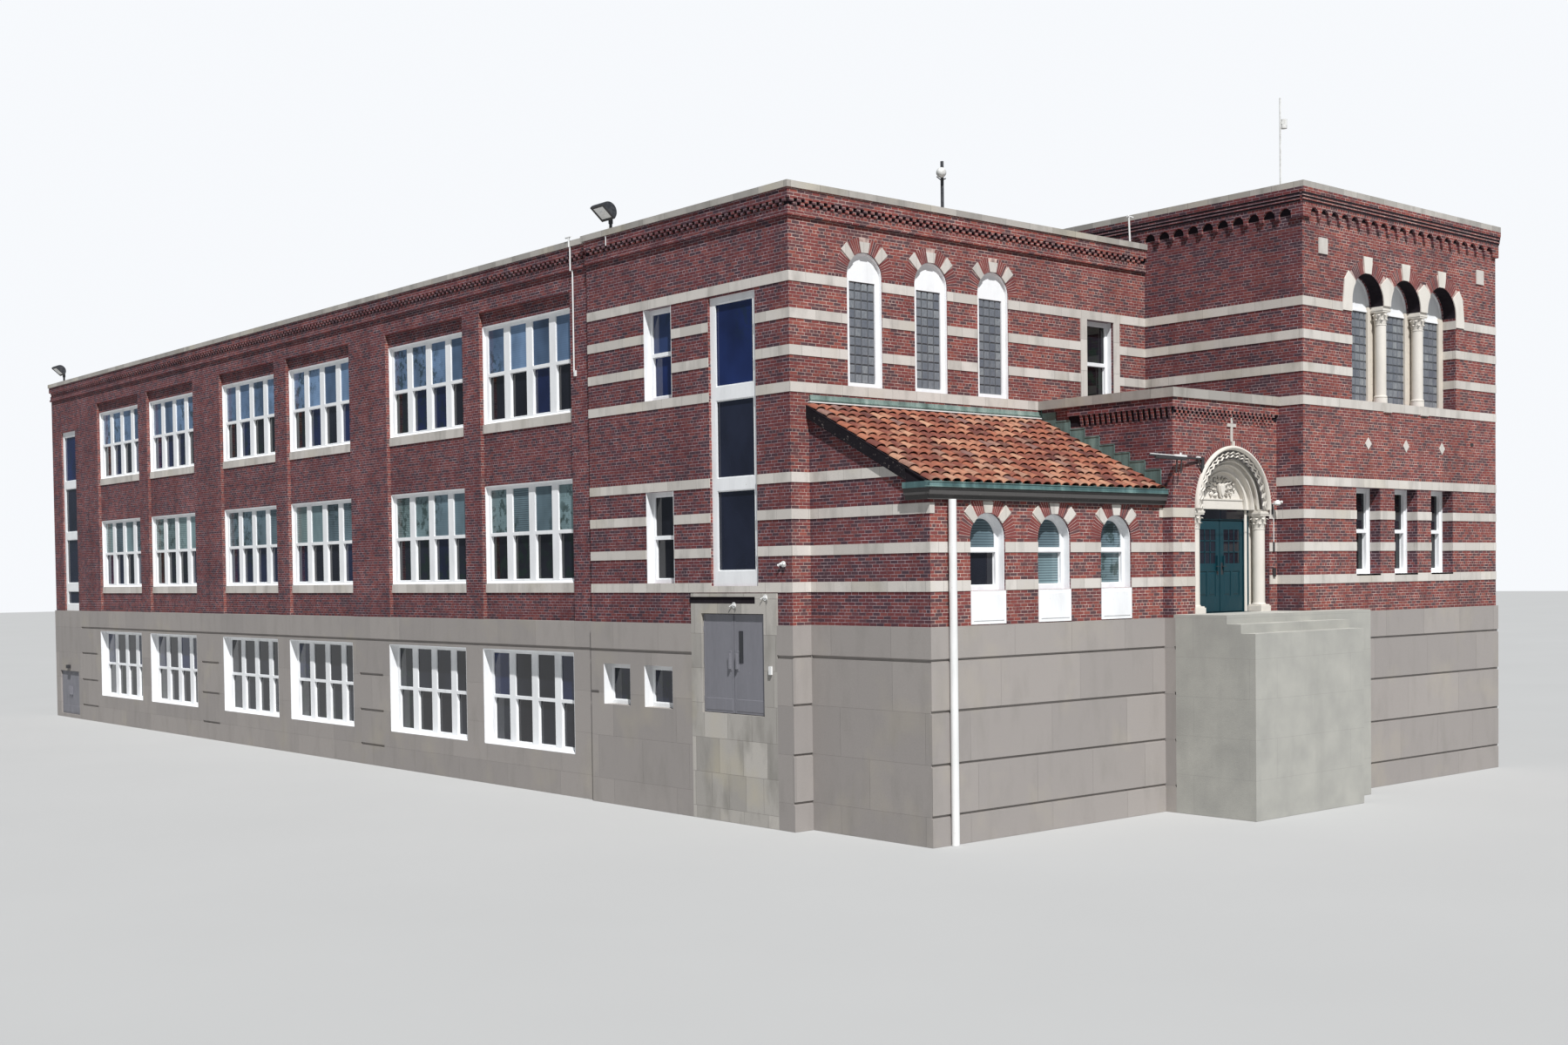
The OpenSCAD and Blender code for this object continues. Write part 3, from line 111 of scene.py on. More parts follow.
class Look:
    """A material graph around one Principled shader."""

    def __init__(self, name):
        self.material = bpy.data.materials.new(name)
        self.material.use_nodes = True
        self.tree = self.material.node_tree
        self.tree.nodes.clear()
        self.shader = self.add("BsdfPrincipled")
        out = self.add("OutputMaterial")
        self.tree.links.new(self.shader.outputs[0], out.inputs[0])
        place = self.add("TexCoord")
        self.at = place.outputs["Object"]
        self.facing = place.outputs["Normal"]

    def add(self, kind, settings=None, numbered=(), **inputs):
        n = self.tree.nodes.new("ShaderNode" + kind)
        for key, value in (settings or {}).items():
            setattr(n, key, value)
        for socket, value in zip(n.inputs, numbered):
            self.put(socket, value)
        for key, value in inputs.items():
            self.put(n.inputs[key.replace("_", " ")], value)
        return n

    def put(self, socket, value):
        if isinstance(value, bpy.types.NodeSocket):
            self.tree.links.new(value, socket)
        elif isinstance(value, tuple) and len(value) == 3 and socket.type == "RGBA":
            socket.default_value = (*value, 1)
        else:
            socket.default_value = value

    def math(self, op, a, b=0, clamp=False):
        return self.add("Math", {"operation": op, "use_clamp": clamp}, (a, b)).outputs[0]

    def times(self, a, b):
        return self.math("MULTIPLY", a, b)

    def mix(self, fac, a, b, blend="MIX"):
        n = self.add("Mix", {"data_type": "RGBA", "blend_type": blend})
        for socket, value in ((0, fac), (6, a), (7, b)):
            self.put(n.inputs[socket], value)
        return n.outputs[2]

    def over(self, colour, mask, low, high, most, other):
        """Lays another colour over the first as the mask climbs from low to high."""
        return self.mix(self.spread(mask, low, high, 0, most), colour, other)

    def toned(self, colour, fac, *stops):
        """A colour multiplied by a ramp."""
        return self.mix(1, colour, self.ramp(fac, *stops), "MULTIPLY")

    def ramp(self, fac, *stops):
        n = self.add("ValToRGB", Fac=fac)
        elements = n.color_ramp.elements
        while len(elements) < len(stops):
            elements.new(0.5)
        for element, (pos, colour) in zip(elements, stops):
            element.position = pos
            element.color = (*(colour if isinstance(colour, tuple) else (colour,) * 3), 1)
        return n.outputs[0]

    def noise(self, scale, detail=3, stretch=None, rough=0.55):
        """Noise, stretched in x, y and z when asked."""
        at = self.at
        if stretch:
            at = self.add("VectorMath", {"operation": "MULTIPLY"}, (at, stretch)).outputs[0]
        return self.add("TexNoise", Vector=at, Scale=scale, Detail=detail, Roughness=rough).outputs[0]

    def spread(self, fac, low, high, a=0, b=1):
        n = self.add("MapRange", {"clamp": True}, Value=fac)
        for key, value in (("From Min", low), ("From Max", high), ("To Min", a), ("To Max", b)):
            n.inputs[key].default_value = value
        return n.outputs[0]

    def split(self, vector=None):
        return self.add("SeparateXYZ", Vector=vector or self.at).outputs

    def wall(self, drop=0):
        """Coordinates along a wall and up it, whichever way the wall faces."""
        p, n = self.split(), self.split(self.facing)
        sideways = self.math("GREATER_THAN", self.math("ABSOLUTE", n[0]), 0.7)
        along = self.math("ADD", self.times(p[1], sideways),
                          self.times(p[0], self.math("SUBTRACT", 1, sideways)))
        return self.add("CombineXYZ", X=along, Y=self.math("SUBTRACT", p[2], drop)).outputs[0]

    def blocks(self, width, height, joint, at, offset=0.5, squash=1, every=6):
        """Rows of blocks: the tone of each block, and 1 in the joints."""
        n = self.add("TexBrick", {"offset": offset, "offset_frequency": 2,
                                  "squash": squash, "squash_frequency": every},
                     Vector=at, Color1=(0, 0, 0), Color2=(1, 1, 1), Scale=1, Mortar_Size=joint,
                     Mortar_Smooth=0.3, Bias=0, Brick_Width=width, Row_Height=height)
        return n.outputs[0], n.outputs[1]

    def tint(self):
        return self.add("Attribute", {"attribute_name": "tint"}).outputs["Fac"]

    def bump(self, height, distance, strength=1):
        return self.add("Bump", Height=height, Distance=distance, Strength=strength).outputs[0]

    def done(self, colour, rough, normal=None, shine=0.5, **fixed):
        self.put(self.shader.inputs["Base Color"], colour)
        self.put(self.shader.inputs["Roughness"], rough)
        if normal:
            self.put(self.shader.inputs["Normal"], normal)
        self.put(self.shader.inputs["Specular IOR Level"], shine)
        for key, value in fixed.items():
            self.shader.inputs[key.replace("_", " ")].default_value = value
        return self.material


def brickwork(name, loose=False):
    """Mixed red and dark bricks in pale joints, at their true size; loose ones have a tint each."""
    m = Look(name)
    if loose:
        tone, joint = m.tint(), m.spread(m.tint(), 0.02, 0.06, 1, 0)
    else:
        tone, joint = m.blocks(0.1016, COURSE, 0.003, m.wall(), squash=0.5)
    brick = m.ramp(tone, (0, (0.062, 0.04, 0.05)), (0.22, (0.086, 0.046, 0.053)),
                   (0.36, (0.135, 0.038, 0.041)), (0.62, (0.17, 0.046, 0.043)),
                   (0.84, (0.215, 0.066, 0.054)), (1, (0.11, 0.052, 0.058)))
    grit = m.noise(240, 2)
    brick = m.over(brick, grit, 0.3, 0.75, 0.3, (0.085, 0.04, 0.048))
    mortar = m.over((0.24, 0.19, 0.185), m.noise(9, 4), 0.35, 0.65, 1, (0.55, 0.475, 0.455))
    clean = m.spread(m.noise(14, 4), 0.3, 0.62, 0.55, 1)
    colour = m.mix(m.times(joint, clean), brick, mortar)
    # Faces towards -y are painted lighter and warmer and all other faces darker: painted sunlight and shade.
    painted_sunlit_front = m.math("LESS_THAN", m.split(m.facing)[1], -0.7)
    colour = m.mix(1, colour, m.mix(painted_sunlit_front, (0.9, 0.87, 0.97), (1.3, 1.23, 1.15)), "MULTIPLY")
    patches = m.noise(0.9, 4, (1, 1, 1.8))
    colour = m.toned(colour, patches, (0.3, (0.8, 0.76, 0.78)), (0.7, (1.18, 1.12, 1.08)))
    streaks = m.noise(3, 3, (1, 1, 0.12))
    colour = m.toned(colour, streaks, (0.25, (0.84, 0.82, 0.82)), (0.6, (1.06, 1.06, 1.06)))
    height = m.math("SUBTRACT", m.times(grit, 0.3), joint)
    return m.done(colour, 0.86, m.bump(height, 0.003), shine=0.25)


def stonework(name, light, dark, size=None, drop=BAND_DROP, joints=0.0022, dirt=1):
    """Weathered pale stone, in blocks of a size or, without one, carved and darkened by tint as painted
    shade.
    """
    m = Look(name)
    if size:
        tone, joint = m.blocks(*size, joints, m.wall(drop), offset=0.37, squash=0.72, every=3)
    else:
        # Carved stone has no joints: where its tint is high it darkens as painted shade.
        tone, joint = m.noise(2.2, 2), m.spread(m.tint(), 0.6, 1, 0, 1.2)
    base = m.over(light, tone, 0.1, 0.9, 1, dark)
    speck = m.noise(190, 3)
    base = m.over(base, speck, 0.35, 0.7, 0.35, shade(dark, 0.62))
    stain = m.noise(4.5, 5, (1, 1, 0.35))
    base = m.over(base, stain, 0.5, 0.78, 0.55 * dirt, (0.2, 0.19, 0.17))
    base = m.over(base, m.noise(1.3, 3), 0.55, 0.75, 0.3 * dirt, (0.5, 0.44, 0.3))
    joint_and_shade_colour = (0.17, 0.155, 0.14) if size else (0.055, 0.05, 0.055)
    colour = m.mix(m.times(joint, 0.75), base, joint_and_shade_colour)
    height = m.math("SUBTRACT", m.times(speck, 0.4), joint)
    rough = m.spread(stain, 0.3, 0.8, 0.72, 0.92)
    return m.done(colour, rough, m.bump(height, 0.002), shine=0.3)


def painted(name, base, worn, rough=0.45, chips=0.12, grain=(40, 40, 6), **fixed):
    """Paint with faint brush marks, grime and a few chips."""
    m = Look(name)
    grime = m.noise(5, 5, (1, 1, 0.4))
    brush = m.noise(1, 3, grain)
    flake = m.noise(26, 6, rough=0.7)
    colour = m.over(base, grime, 0.45, 0.8, 0.4, shade(base, 0.6, 0.02))
    colour = m.over(colour, brush, 0.35, 0.7, 0.14, shade(base, 1.3, 0.02))
    colour = m.over(colour, flake, 0.7 - chips * 0.9, 0.74 - chips * 0.9, 1, worn)
    height = m.math("ADD", m.times(brush, 0.3), m.spread(flake, 0.5, 0.7, 0.6, 0))
    rough = m.spread(grime, 0.3, 0.8, rough, min(1, rough + 0.3))
    return m.done(colour, rough, m.bump(height, 0.0007), **fixed)


def dark_glass():
    """Opaque window glass with the dark room behind it painted in as shade: tint 0 is bare, 0.5 has a blind
    behind it, 1 has the sky's reflection painted in.
    """
    m = Look("pane_glass")
    depth = m.ramp(m.tint(), (0, (0.007, 0.006, 0.008)), (0.2, (0.014, 0.016, 0.024)),
                   (0.35, (0.008, 0.018, 0.08)), (0.5, (0.19, 0.27, 0.27)), (0.75, (0.055, 0.09, 0.155)),
                   (1, (0.15, 0.235, 0.37)))
    drift = m.noise(1.6, 3, (1, 1, 0.7))
    colour = m.toned(depth, drift, (0.3, 0.6), (0.7, 1.4))
    ripple = m.noise(3, 1)
    slat = m.math("FRACT", m.times(m.split()[2], 38))
    blind = m.times(m.spread(slat, 0.55, 0.75), m.spread(m.tint(), 0.4, 0.43))
    blind = m.times(blind, m.spread(m.tint(), 0.49, 0.52, 0.75, 0.12))
    colour = m.mix(blind, colour, (0.035, 0.045, 0.055))
    # A painted reflection of trees: dark green patches over some panes.
    leaves = m.noise(7, 8, rough=0.72)
    mask = m.times(m.spread(leaves, 0.5, 0.56), m.spread(m.noise(0.55, 1), 0.48, 0.58))
    colour = m.mix(m.times(mask, 0.7), colour, (0.01, 0.022, 0.014))
    return m.done(colour, m.spread(m.noise(30), 0.4, 0.8, 0.03, 0.1), m.bump(ripple, 0.004, 0.35), IOR=1.5)


def block_glass():
    m = Look("glass_block_face")
    body = m.ramp(m.tint(), (0, (0.125, 0.135, 0.16)), (0.5, (0.185, 0.195, 0.215)),
                  (1, (0.28, 0.295, 0.305)))
    wave = m.noise(55, 2, (1, 1, 0.4))
    colour = m.over(body, wave, 0.35, 0.65, 0.45, (0.1, 0.12, 0.145))
    return m.done(colour, 0.16, m.bump(wave, 0.003), IOR=1.45, Coat_Weight=0.3)


def tiles():
    """Weathered barrel tiles, each with its own fired tone."""
    m = Look("barrel_tile")
    tone = m.ramp(m.tint(), (0, (0.095, 0.032, 0.028)), (0.35, (0.195, 0.06, 0.042)),
                  (0.6, (0.32, 0.112, 0.066)), (0.82, (0.44, 0.235, 0.15)), (1, (0.2, 0.11, 0.095)))
    colour = m.over(tone, m.noise(16, 5), 0.45, 0.75, 0.6, (0.09, 0.042, 0.034))
    colour = m.over(colour, m.noise(7, 3), 0.52, 0.7, 0.3, (0.46, 0.3, 0.2))
    return m.done(colour, 0.82, m.bump(m.noise(120), 0.0016), shine=0.3)


def patina(name, dark, middle, pale):
    m = Look(name)
    run = m.noise(8, 5, (1, 1, 0.12))
    speck = m.noise(60, 4)
    colour = m.ramp(run, (0.25, dark), (0.5, middle), (0.75, pale))
    colour = m.over(colour, speck, 0.6, 0.75, 0.6, (0.06, 0.055, 0.045))
    return m.done(colour, m.spread(run, 0.3, 0.7, 0.45, 0.75), m.bump(speck, 0.0012), Metallic=0.25)


def worn_concrete(name, light, dark, joints=0):
    m = Look(name)
    cloud, grit = m.noise(2.4, 6), m.noise(160, 3)
    colour = m.ramp(cloud, (0.3, dark), (0.68, light))
    colour = m.over(colour, grit, 0.4, 0.75, 0.4, shade(dark, 0.6))
    pour = m.blocks(1.4, 0.42, 0.002, m.wall())[1]
    colour = m.mix(m.times(pour, joints), colour, (0.12, 0.115, 0.105))
    run = m.noise(5, 4, (1, 1, 0.15))
    colour = m.over(colour, run, 0.52, 0.75, 0.35, shade(dark, 0.7))
    # Upright faces are drawn darker than level ones, by the same share as the pour joints.
    riser = m.math("LESS_THAN", m.math("ABSOLUTE", m.split(m.facing)[2]), 0.5)
    colour = m.mix(m.times(riser, joints), colour, dark)
    return m.done(colour, 0.9, m.bump(m.math("ADD", grit, m.times(cloud, 2)), 0.002))


def fixtures():
    """White metal for the dome, the mast and its receiver; dark paint for the poles and floodlights."""
    m = Look("fixture_metal")
    dome = m.add("VectorMath", {"operation": "DISTANCE"}, (m.at, (POLE_X, POLE_Y, ROOF_EDGE + 0.415)))
    white = m.math("ADD", m.math("LESS_THAN", dome.outputs["Value"], 0.062),
                   m.math("GREATER_THAN", m.split()[0], 5), clamp=True)
    grime = m.noise(30, 4)
    pale = m.over((0.74, 0.74, 0.72), grime, 0.4, 0.8, 1, (0.42, 0.41, 0.39))
    dark = m.over((0.035, 0.037, 0.043), grime, 0.4, 0.8, 1, (0.085, 0.085, 0.09))
    return m.done(m.mix(white, dark, pale), m.spread(grime, 0.3, 0.8, 0.35, 0.6), m.bump(grime, 0.0006))


BAND = 11 * COURSE
BRICK = brickwork("brickwork")
BRICK_CUT = brickwork("cut_brick", loose=True)
LIMESTONE = stonework("limestone", (0.66, 0.62, 0.575), (0.54, 0.505, 0.465), (0.36, BAND), joints=0.0014)
COPING = stonework("coping_stone", (0.5, 0.47, 0.43), (0.34, 0.32, 0.295), (0.4, BAND), dirt=1.3)
CARVED = stonework("carved_limestone", (0.76, 0.72, 0.66), (0.66, 0.62, 0.56), dirt=0.5)
ASHLAR = stonework("base_ashlar", (0.355, 0.325, 0.305), (0.31, 0.285, 0.27), (1.2, 14.667 * COURSE),
                   z_at(-9.5), joints=0.0012, dirt=0.6)
WHITE = painted("white_paint", (0.82, 0.83, 0.84), (0.5, 0.49, 0.46), chips=0.03)
# Beige paint darkened to near black as painted shade under the gutter.
SHADED_BEIGE = painted("beige_paint", (0.066, 0.062, 0.06), (0.16, 0.15, 0.14), 0.6, 0.06)
BOARD = painted("peeling_board", (0.012, 0.01, 0.013), (0.22, 0.19, 0.175), 0.8, 0.1, (60, 5, 60),
                shine=0.08)
TEAL = painted("teal_paint", (0.004, 0.036, 0.05), (0.03, 0.075, 0.095), 0.3, 0.02, shine=0.35)
# Near-black paint that stands in for shade: painted shade in hollows, slots, arch soffits and the gaps
# between tiles.
SHADE_BLACK = painted("painted_shade_black", (0.016, 0.012, 0.016), (0.05, 0.03, 0.035), 0.9, 0.05, shine=0.08)
GREY_DOOR = painted("grey_paint", (0.185, 0.183, 0.205), (0.28, 0.28, 0.29), 0.42, 0.03)
METAL = painted("white_metal", (0.74, 0.74, 0.73), (0.36, 0.32, 0.28), 0.4, 0.06)
IRON = painted("dark_iron", (0.03, 0.029, 0.032), (0.1, 0.075, 0.06), 0.45, 0.08)
POST = painted("post_paint", (0.6, 0.545, 0.47), (0.42, 0.36, 0.3), 0.6, 0.08)
JOINTS = painted("panel_joints", (0.07, 0.074, 0.082), (0.16, 0.16, 0.16), 0.8, 0.08)
GLASS = dark_glass()
BLOCK = block_glass()
TILE = tiles()
COPPER = patina("copper_patina", (0.06, 0.09, 0.085), (0.12, 0.2, 0.19), (0.26, 0.38, 0.35))
WASHED = patina("washed_copper", (0.1, 0.145, 0.13), (0.24, 0.33, 0.3), (0.44, 0.52, 0.48))
GUTTER = patina("gutter_patina", (0.04, 0.08, 0.085), (0.085, 0.165, 0.168), (0.2, 0.32, 0.31))
LANDING = worn_concrete("worn_concrete", (0.5, 0.49, 0.44), (0.33, 0.325, 0.3), 0.5)
FLOOR = worn_concrete("floor_concrete", (0.36, 0.355, 0.34), (0.27, 0.265, 0.25))
ROOFING = worn_concrete("roofing_felt", (0.13, 0.13, 0.13), (0.075, 0.075, 0.08))

FINISHES = (
    (FLOOR, "basement_floor ground_floor upper_floor"),
    (ROOFING, "roof_deck"),
    (ASHLAR, "base_side_walls base_end_walls entrance_base leanto_base tower_base far_door_surround"),
    (COPING, "side_door_surround stone_copings"),
    (BRICK, "pavilion_wall side_walls end_walls entrance_piers entrance_wall leanto_walls"),
    (BRICK, "tower_front tower_sides tower_top"),
    (LIMESTONE, "stone_trim"),
    (CARVED, "portal_jambs portal_arch portal_columns tower_arches tower_columns"),
    (POST, "tower_posts"),
    (WHITE, "left_windows rear_windows front_windows tower_windows"),
    (GLASS, "window_glass"),
    (BLOCK, "glass_blocks"),
    (TEAL, "entrance_frame entrance_door_left entrance_door_right"),
    (GREY_DOOR, "side_door_left side_door_right far_door_left far_door_right"),
    (LANDING, "landing_steps"),
    (TILE, "leanto_roof"),
    (BOARD, "rake_board"),
    (SHADED_BEIGE, "eave_moulding"),
    (GUTTER, "gutter"),
    (METAL, "downspout"),
    (fixtures(), "roof_fixtures"),
)
for finish, names in FINISHES:
    for name in names.split():
        nodes[name].data.materials.clear()
        nodes[name].data.materials.append(finish)


# Mesh building
def placed(name, data):
    obj = bpy.data.objects.new(name, data)
    bpy.context.scene.collection.objects.link(obj)
    return obj


class Piece:
    """A mesh made of many small solids, each with its own tint."""

    def __init__(self, name, finish, slot, body="building", smooth=0):
        self.name, self.finish, self.slot, self.body, self.smooth = name, finish, slot, body, smooth
        self.verts, self.faces, self.tints = [], [], []

    def add(self, verts, faces, place=None, tint=0.5):
        start = len(self.verts)
        self.verts += [place(*v) for v in verts] if place else verts
        self.faces += [[start + i for i in f] for f in faces]
        self.tints += [tint] * len(faces)

    def hexa(self, place, corners, tint=0.5):
        """A solid with six faces from its lower four corners and its upper four."""
        sides = [(0, 3, 2, 1), (4, 5, 6, 7), (0, 1, 5, 4), (1, 2, 6, 5), (2, 3, 7, 6), (3, 0, 4, 7)]
        self.add(corners, sides, place, tint)

    def loft(self, place, low, high, tint=0.5):
        """A solid between two level rectangles, each a range along, a range out and a height."""
        self.hexa(place, [corner for (a0, a1), (d0, d1), z in (low, high)
                          for corner in ((a0, d0, z), (a1, d0, z), (a1, d1, z), (a0, d1, z))], tint)

    def box(self, place, a, d, z, tint=0.5):
        self.loft(place, (a, d, z[0]), (a, d, z[1]), tint)

    def boss(self, place, a, d, z, inset, tint=0.5):
        """A box whose outer face is drawn in, like a bevelled block."""
        (a0, a1), (z0, z1) = a, z
        self.hexa(place, [corner for out, k in zip(d, (0, inset))
                          for corner in ((a0 + k, out, z0 + k), (a1 - k, out, z0 + k),
                                         (a1 - k, out, z1 - k), (a0 + k, out, z1 - k))], tint)

    def slab(self, place, outline, d0, d1, tint=0.5):
        """A flat shape drawn in (along, up) and given thickness."""
        self.rings([[(a, d, z) for a, z in outline] for d in (d0, d1)], place, tint)

    def rings(self, loops, place=None, tint=0.5):
        """Joins loops of equal length into a skin with filled ends."""
        n = len(loops[0])
        last = (len(loops) - 1) * n
        faces = [(start + i, start + (i + 1) % n, start + n + (i + 1) % n, start + n + i)
                 for start in range(0, last, n) for i in range(n)]
        faces += [tuple(range(n - 1, -1, -1)), tuple(range(last, last + n))]
        self.add([v for loop in loops for v in loop], faces, place, tint)

    def arc(self, place, cx, cz, profile, end=180, steps=24, tint=0.5):
        """Sweeps a closed (radius, out) profile round an arch."""
        turns = [radians(end * k / steps) for k in range(steps + 1)]
        loops = [[(cx + r * cos(t), d, cz + r * sin(t)) for r, d in profile] for t in turns]
        self.rings(loops, place, tint)

    def hoop(self, place, cx, cz, r, d, **how):
        """An arc with a rectangular section, from its two radii and its range out."""
        (r0, r1), (d0, d1) = r, d
        self.arc(place, cx, cz, [(r0, d0), (r0, d1), (r1, d1), (r1, d0)], **how)

    def turned(self, x, y, profile, tint=0.5):
        """A round solid from a (radius, height) profile."""
        turns = [tau * k / 16 for k in range(16)]
        loops = [[(x + r * cos(t), y + r * sin(t), z) for t in turns] for r, z in profile]
        self.rings(loops, tint=tint)

    def rod(self, p, q, radius, steps=8):
        p, q = Vector(p), Vector(q)
        side = (q - p).orthogonal().normalized()
        up = (q - p).normalized().cross(side)
        turns = [tau * k / steps for k in range(steps)]
        ring = [side * cos(t) + up * sin(t) for t in turns]
        self.rings([[tuple(end + v * radius) for v in ring] for end in (p, q)])

    def make(self, *replaced):
        mesh = bpy.data.meshes.new(self.name)
        mesh.from_pydata(self.verts, [], self.faces)
        mesh.attributes.new("tint", "FLOAT", "FACE").data.foreach_set("value", self.tints)
        bm = bmesh.new()
        bm.from_mesh(mesh)
        bmesh.ops.recalc_face_normals(bm, faces=bm.faces)
        bm.to_mesh(mesh)
        bm.free()
        if self.smooth:
            mesh.shade_smooth()
            mesh.set_sharp_from_angle(angle=radians(self.smooth))
        mesh.materials.append(self.finish)
        obj = placed(self.name, mesh)
        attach(obj, self.body)
        if replaced:
            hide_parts(*replaced)


def around(x, reach):
    """The range that reaches as far to both sides of x."""
    return x - reach, x + reach


def half_round(cx, cz, r, step):
    turns = [radians(t) for t in range(0, 181, step)]
    return [(cx + r * cos(t), cz + r * sin(t)) for t in turns]


# Windows
sashes = Piece("window_sashes", WHITE, "white_frame")
panes = Piece("window_panes", GLASS, "pane")
linings = Piece("window_linings", WHITE, "white_frame")
STILE, RAIL, MEETING_RAIL = 0.006, 0.012, 0.003
SASH_T, FRAME_BAR, MEETING_GAP = 0.02, 0.045, 0.04
OUTER_SASH, INNER_SASH = 0.006, 0.028
INSET, REVEAL, LINING_T = 0.09, 0.092, 0.008
BAY_LEVELS = ((13.4, 36.8, 0), (73.4, 36.8, 60), (-47, 36, -60))
BAY_LINING_T, SILL_BACK, SILL_LIP = 0.01, 0.03, 0.006


def glazing(depth):
    """Where a pane sits in a sash whose face is this deep."""
    return -depth - 0.013, -depth - 0.008


def light(place, a, z, depth, tint, foot=RAIL, head=RAIL):
    """One sash with its pane, filling a clear opening of the frame."""
    (a0, a1), (z0, z1) = a, z
    d, inside = (-depth - SASH_T, -depth), (a0 + STILE, a1 - STILE)
    for stile in ((a0, a0 + STILE), (a1 - STILE, a1)):
        sashes.box(place, stile, d, z)
    for rail in ((z0, z0 + foot), (z1 - head, z1)):
        sashes.box(place, inside, d, rail)
    panes.box(place, inside, glazing(depth), (z0 + foot, z1 - head), tint)


def double_hung(place, centre, clear, z, inset, tints):
    """An upper sash in front of a lower one, inside a frame of the CAD."""
    (z0, z1), middle = z, sum(z) / 2
    upper, lower = (middle + MEETING_GAP / 2, z1 - FRAME_BAR), (z0 + FRAME_BAR, middle - MEETING_GAP / 2)
    light(place, around(centre, clear / 2), upper, inset + OUTER_SASH, tints[0], foot=MEETING_RAIL)
    light(place, around(centre, clear / 2), lower, inset + INNER_SASH, tints[1], head=MEETING_RAIL)


def bay_tints(row):
    """Upper rooms get the painted sky reflection, ground floor rooms have blinds, and the other panes keep
    the painted shade of a dark room.
    """
    if row == 60:
        return rng.choice((0.78, 0.86, 0.94, 1)), rng.choice((0.12, 0.2, 0.27, 0.3))
    if row == 0:
        return rng.choice((0.44, 0.5, 0.55, 0.62)), rng.choice((0.08, 0.15, 0.2, 0.25))
    return rng.choice((0.15, 0.2, 0.28)), rng.choice((0.05, 0.12, 0.2))


def bay(place, centre, low=True):
    """Four lights side by side on each storey, with boards on the reveals and a sloping sill."""
    edges = around(centre, BAY_W / 2)
    for foot, height, row in BAY_LEVELS if low else BAY_LEVELS[:2]:
        z0, z1 = z_at(foot), z_at(foot + height)
        outer = 0.02 if row < 0 else (-0.052 if low else -0.002)
        for k in range(BAY_UNITS):
            unit = centre + (k - (BAY_UNITS - 1) / 2) * BAY_UNIT
            double_hung(place, unit, BAY_CLEAR, (z0, z1), INSET, bay_tints(row))
        for edge, inward in zip(edges, (BAY_LINING_T, -BAY_LINING_T)):
            linings.box(place, sorted((edge, edge + inward)), (-REVEAL, outer), (z0, z1))
        linings.box(place, edges, (-REVEAL, outer), (z1 - BAY_LINING_T, z1))
        sill = ((-REVEAL, z0), (outer, z0), (outer, z0 + SILL_LIP), (-REVEAL, z0 + SILL_BACK))
        linings.rings([[(a, d, z) for d, z in sill] for a in edges], place)


def lined(place, centre, width, z, depth, out=0):
    """White boards on both reveals of an opening."""
    for side in (-1, 1):
        edge = centre + side * width / 2
        linings.box(place, sorted((edge, edge - side * LINING_T)), (-depth, out), z)


for y in BAYS:
    bay(WING_LEFT, y)
    bay(right(MAIN_W), y)
for x in BACK_BAYS:
    bay(back(MAIN_LEN), x, low=False)

# The narrow windows by the stair and the small ones below them
NARROW_Y, NARROW_W, SMALL_W = 2.23, 0.51, 0.53
for row, tints in ((0, (0.1, 0.05)), (60, (0.36, 0.33))):
    z = rows(row + 13, row + 43)
    double_hung(MAIN_LEFT, NARROW_Y, NARROW_W - 2 * FRAME_BAR, z, INSET, tints)
    lined(MAIN_LEFT, NARROW_Y, NARROW_W, z, REVEAL)
for y in (2.277, 3.075):
    z0, z1 = rows(-28, -14.1)
    light(MAIN_LEFT, around(y, SMALL_W / 2 - FRAME_BAR), (z0 + FRAME_BAR, z1 - FRAME_BAR),
          INSET + OUTER_SASH, 0.22)
    lined(MAIN_LEFT, y, SMALL_W, (z0, z1), REVEAL, 0.018)

# The window over the entrance block, the transom over its leaves and the tower's lower windows
OVER_X, OVER_W, OVER_Z = 4.89, 0.495, (UPPER_SILL, z_at(103))
double_hung(MAIN_FRONT, OVER_X, OVER_W - 2 * FRAME_BAR, OVER_Z, INSET, (0.1, 0))
lined(MAIN_FRONT, OVER_X, OVER_W, OVER_Z, REVEAL, -0.03)
TRANSOM_Z, TRANSOM_HALF, TRANSOM_BAR = (z_at(31.9), TRANSOM_TOP), 0.44, 0.006
for low, high in ((-TRANSOM_HALF, -TRANSOM_BAR), (TRANSOM_BAR, TRANSOM_HALF)):
    pane = (PORTAL_X + low, PORTAL_X + high)
    panes.box(front(TRANSOM_GLASS_Y), pane, (-0.001, 0.003), TRANSOM_Z, 0.05)
TOWER_INSET = 0.176
for x in TOWER_WINDOWS:
    double_hung(TOWER_FRONT, x, 2 * (TOWER_HALF - FRAME_BAR), LOWER_LIGHT, TOWER_INSET, (0.15, 0.1))

# The tall lights of the two stairs
STAIR_LIGHTS = (
    (MAIN_LEFT, 0.932, ((16.7, 41.9), (45.8, 70.2), (74.5, 100.5))),
    (WING_LEFT, 21.6, ((3.9, 11.2), (15.9, 41), (45.4, 70.4), (74.8, 100.3))),
)
STAIR_HALF, STAIR_BOARD = 0.3175, 0.0155
for place, y, lights in STAIR_LIGHTS:
    for low, high in lights:
        z = rows(low, high)
        light(place, around(y, STAIR_HALF), z, FRAME_BAR, 0.35 if low > 50 else 0.22)
        linings.box(place, (y + STAIR_HALF - STAIR_BOARD, y + STAIR_HALF), (-0.044, -0.031), z)


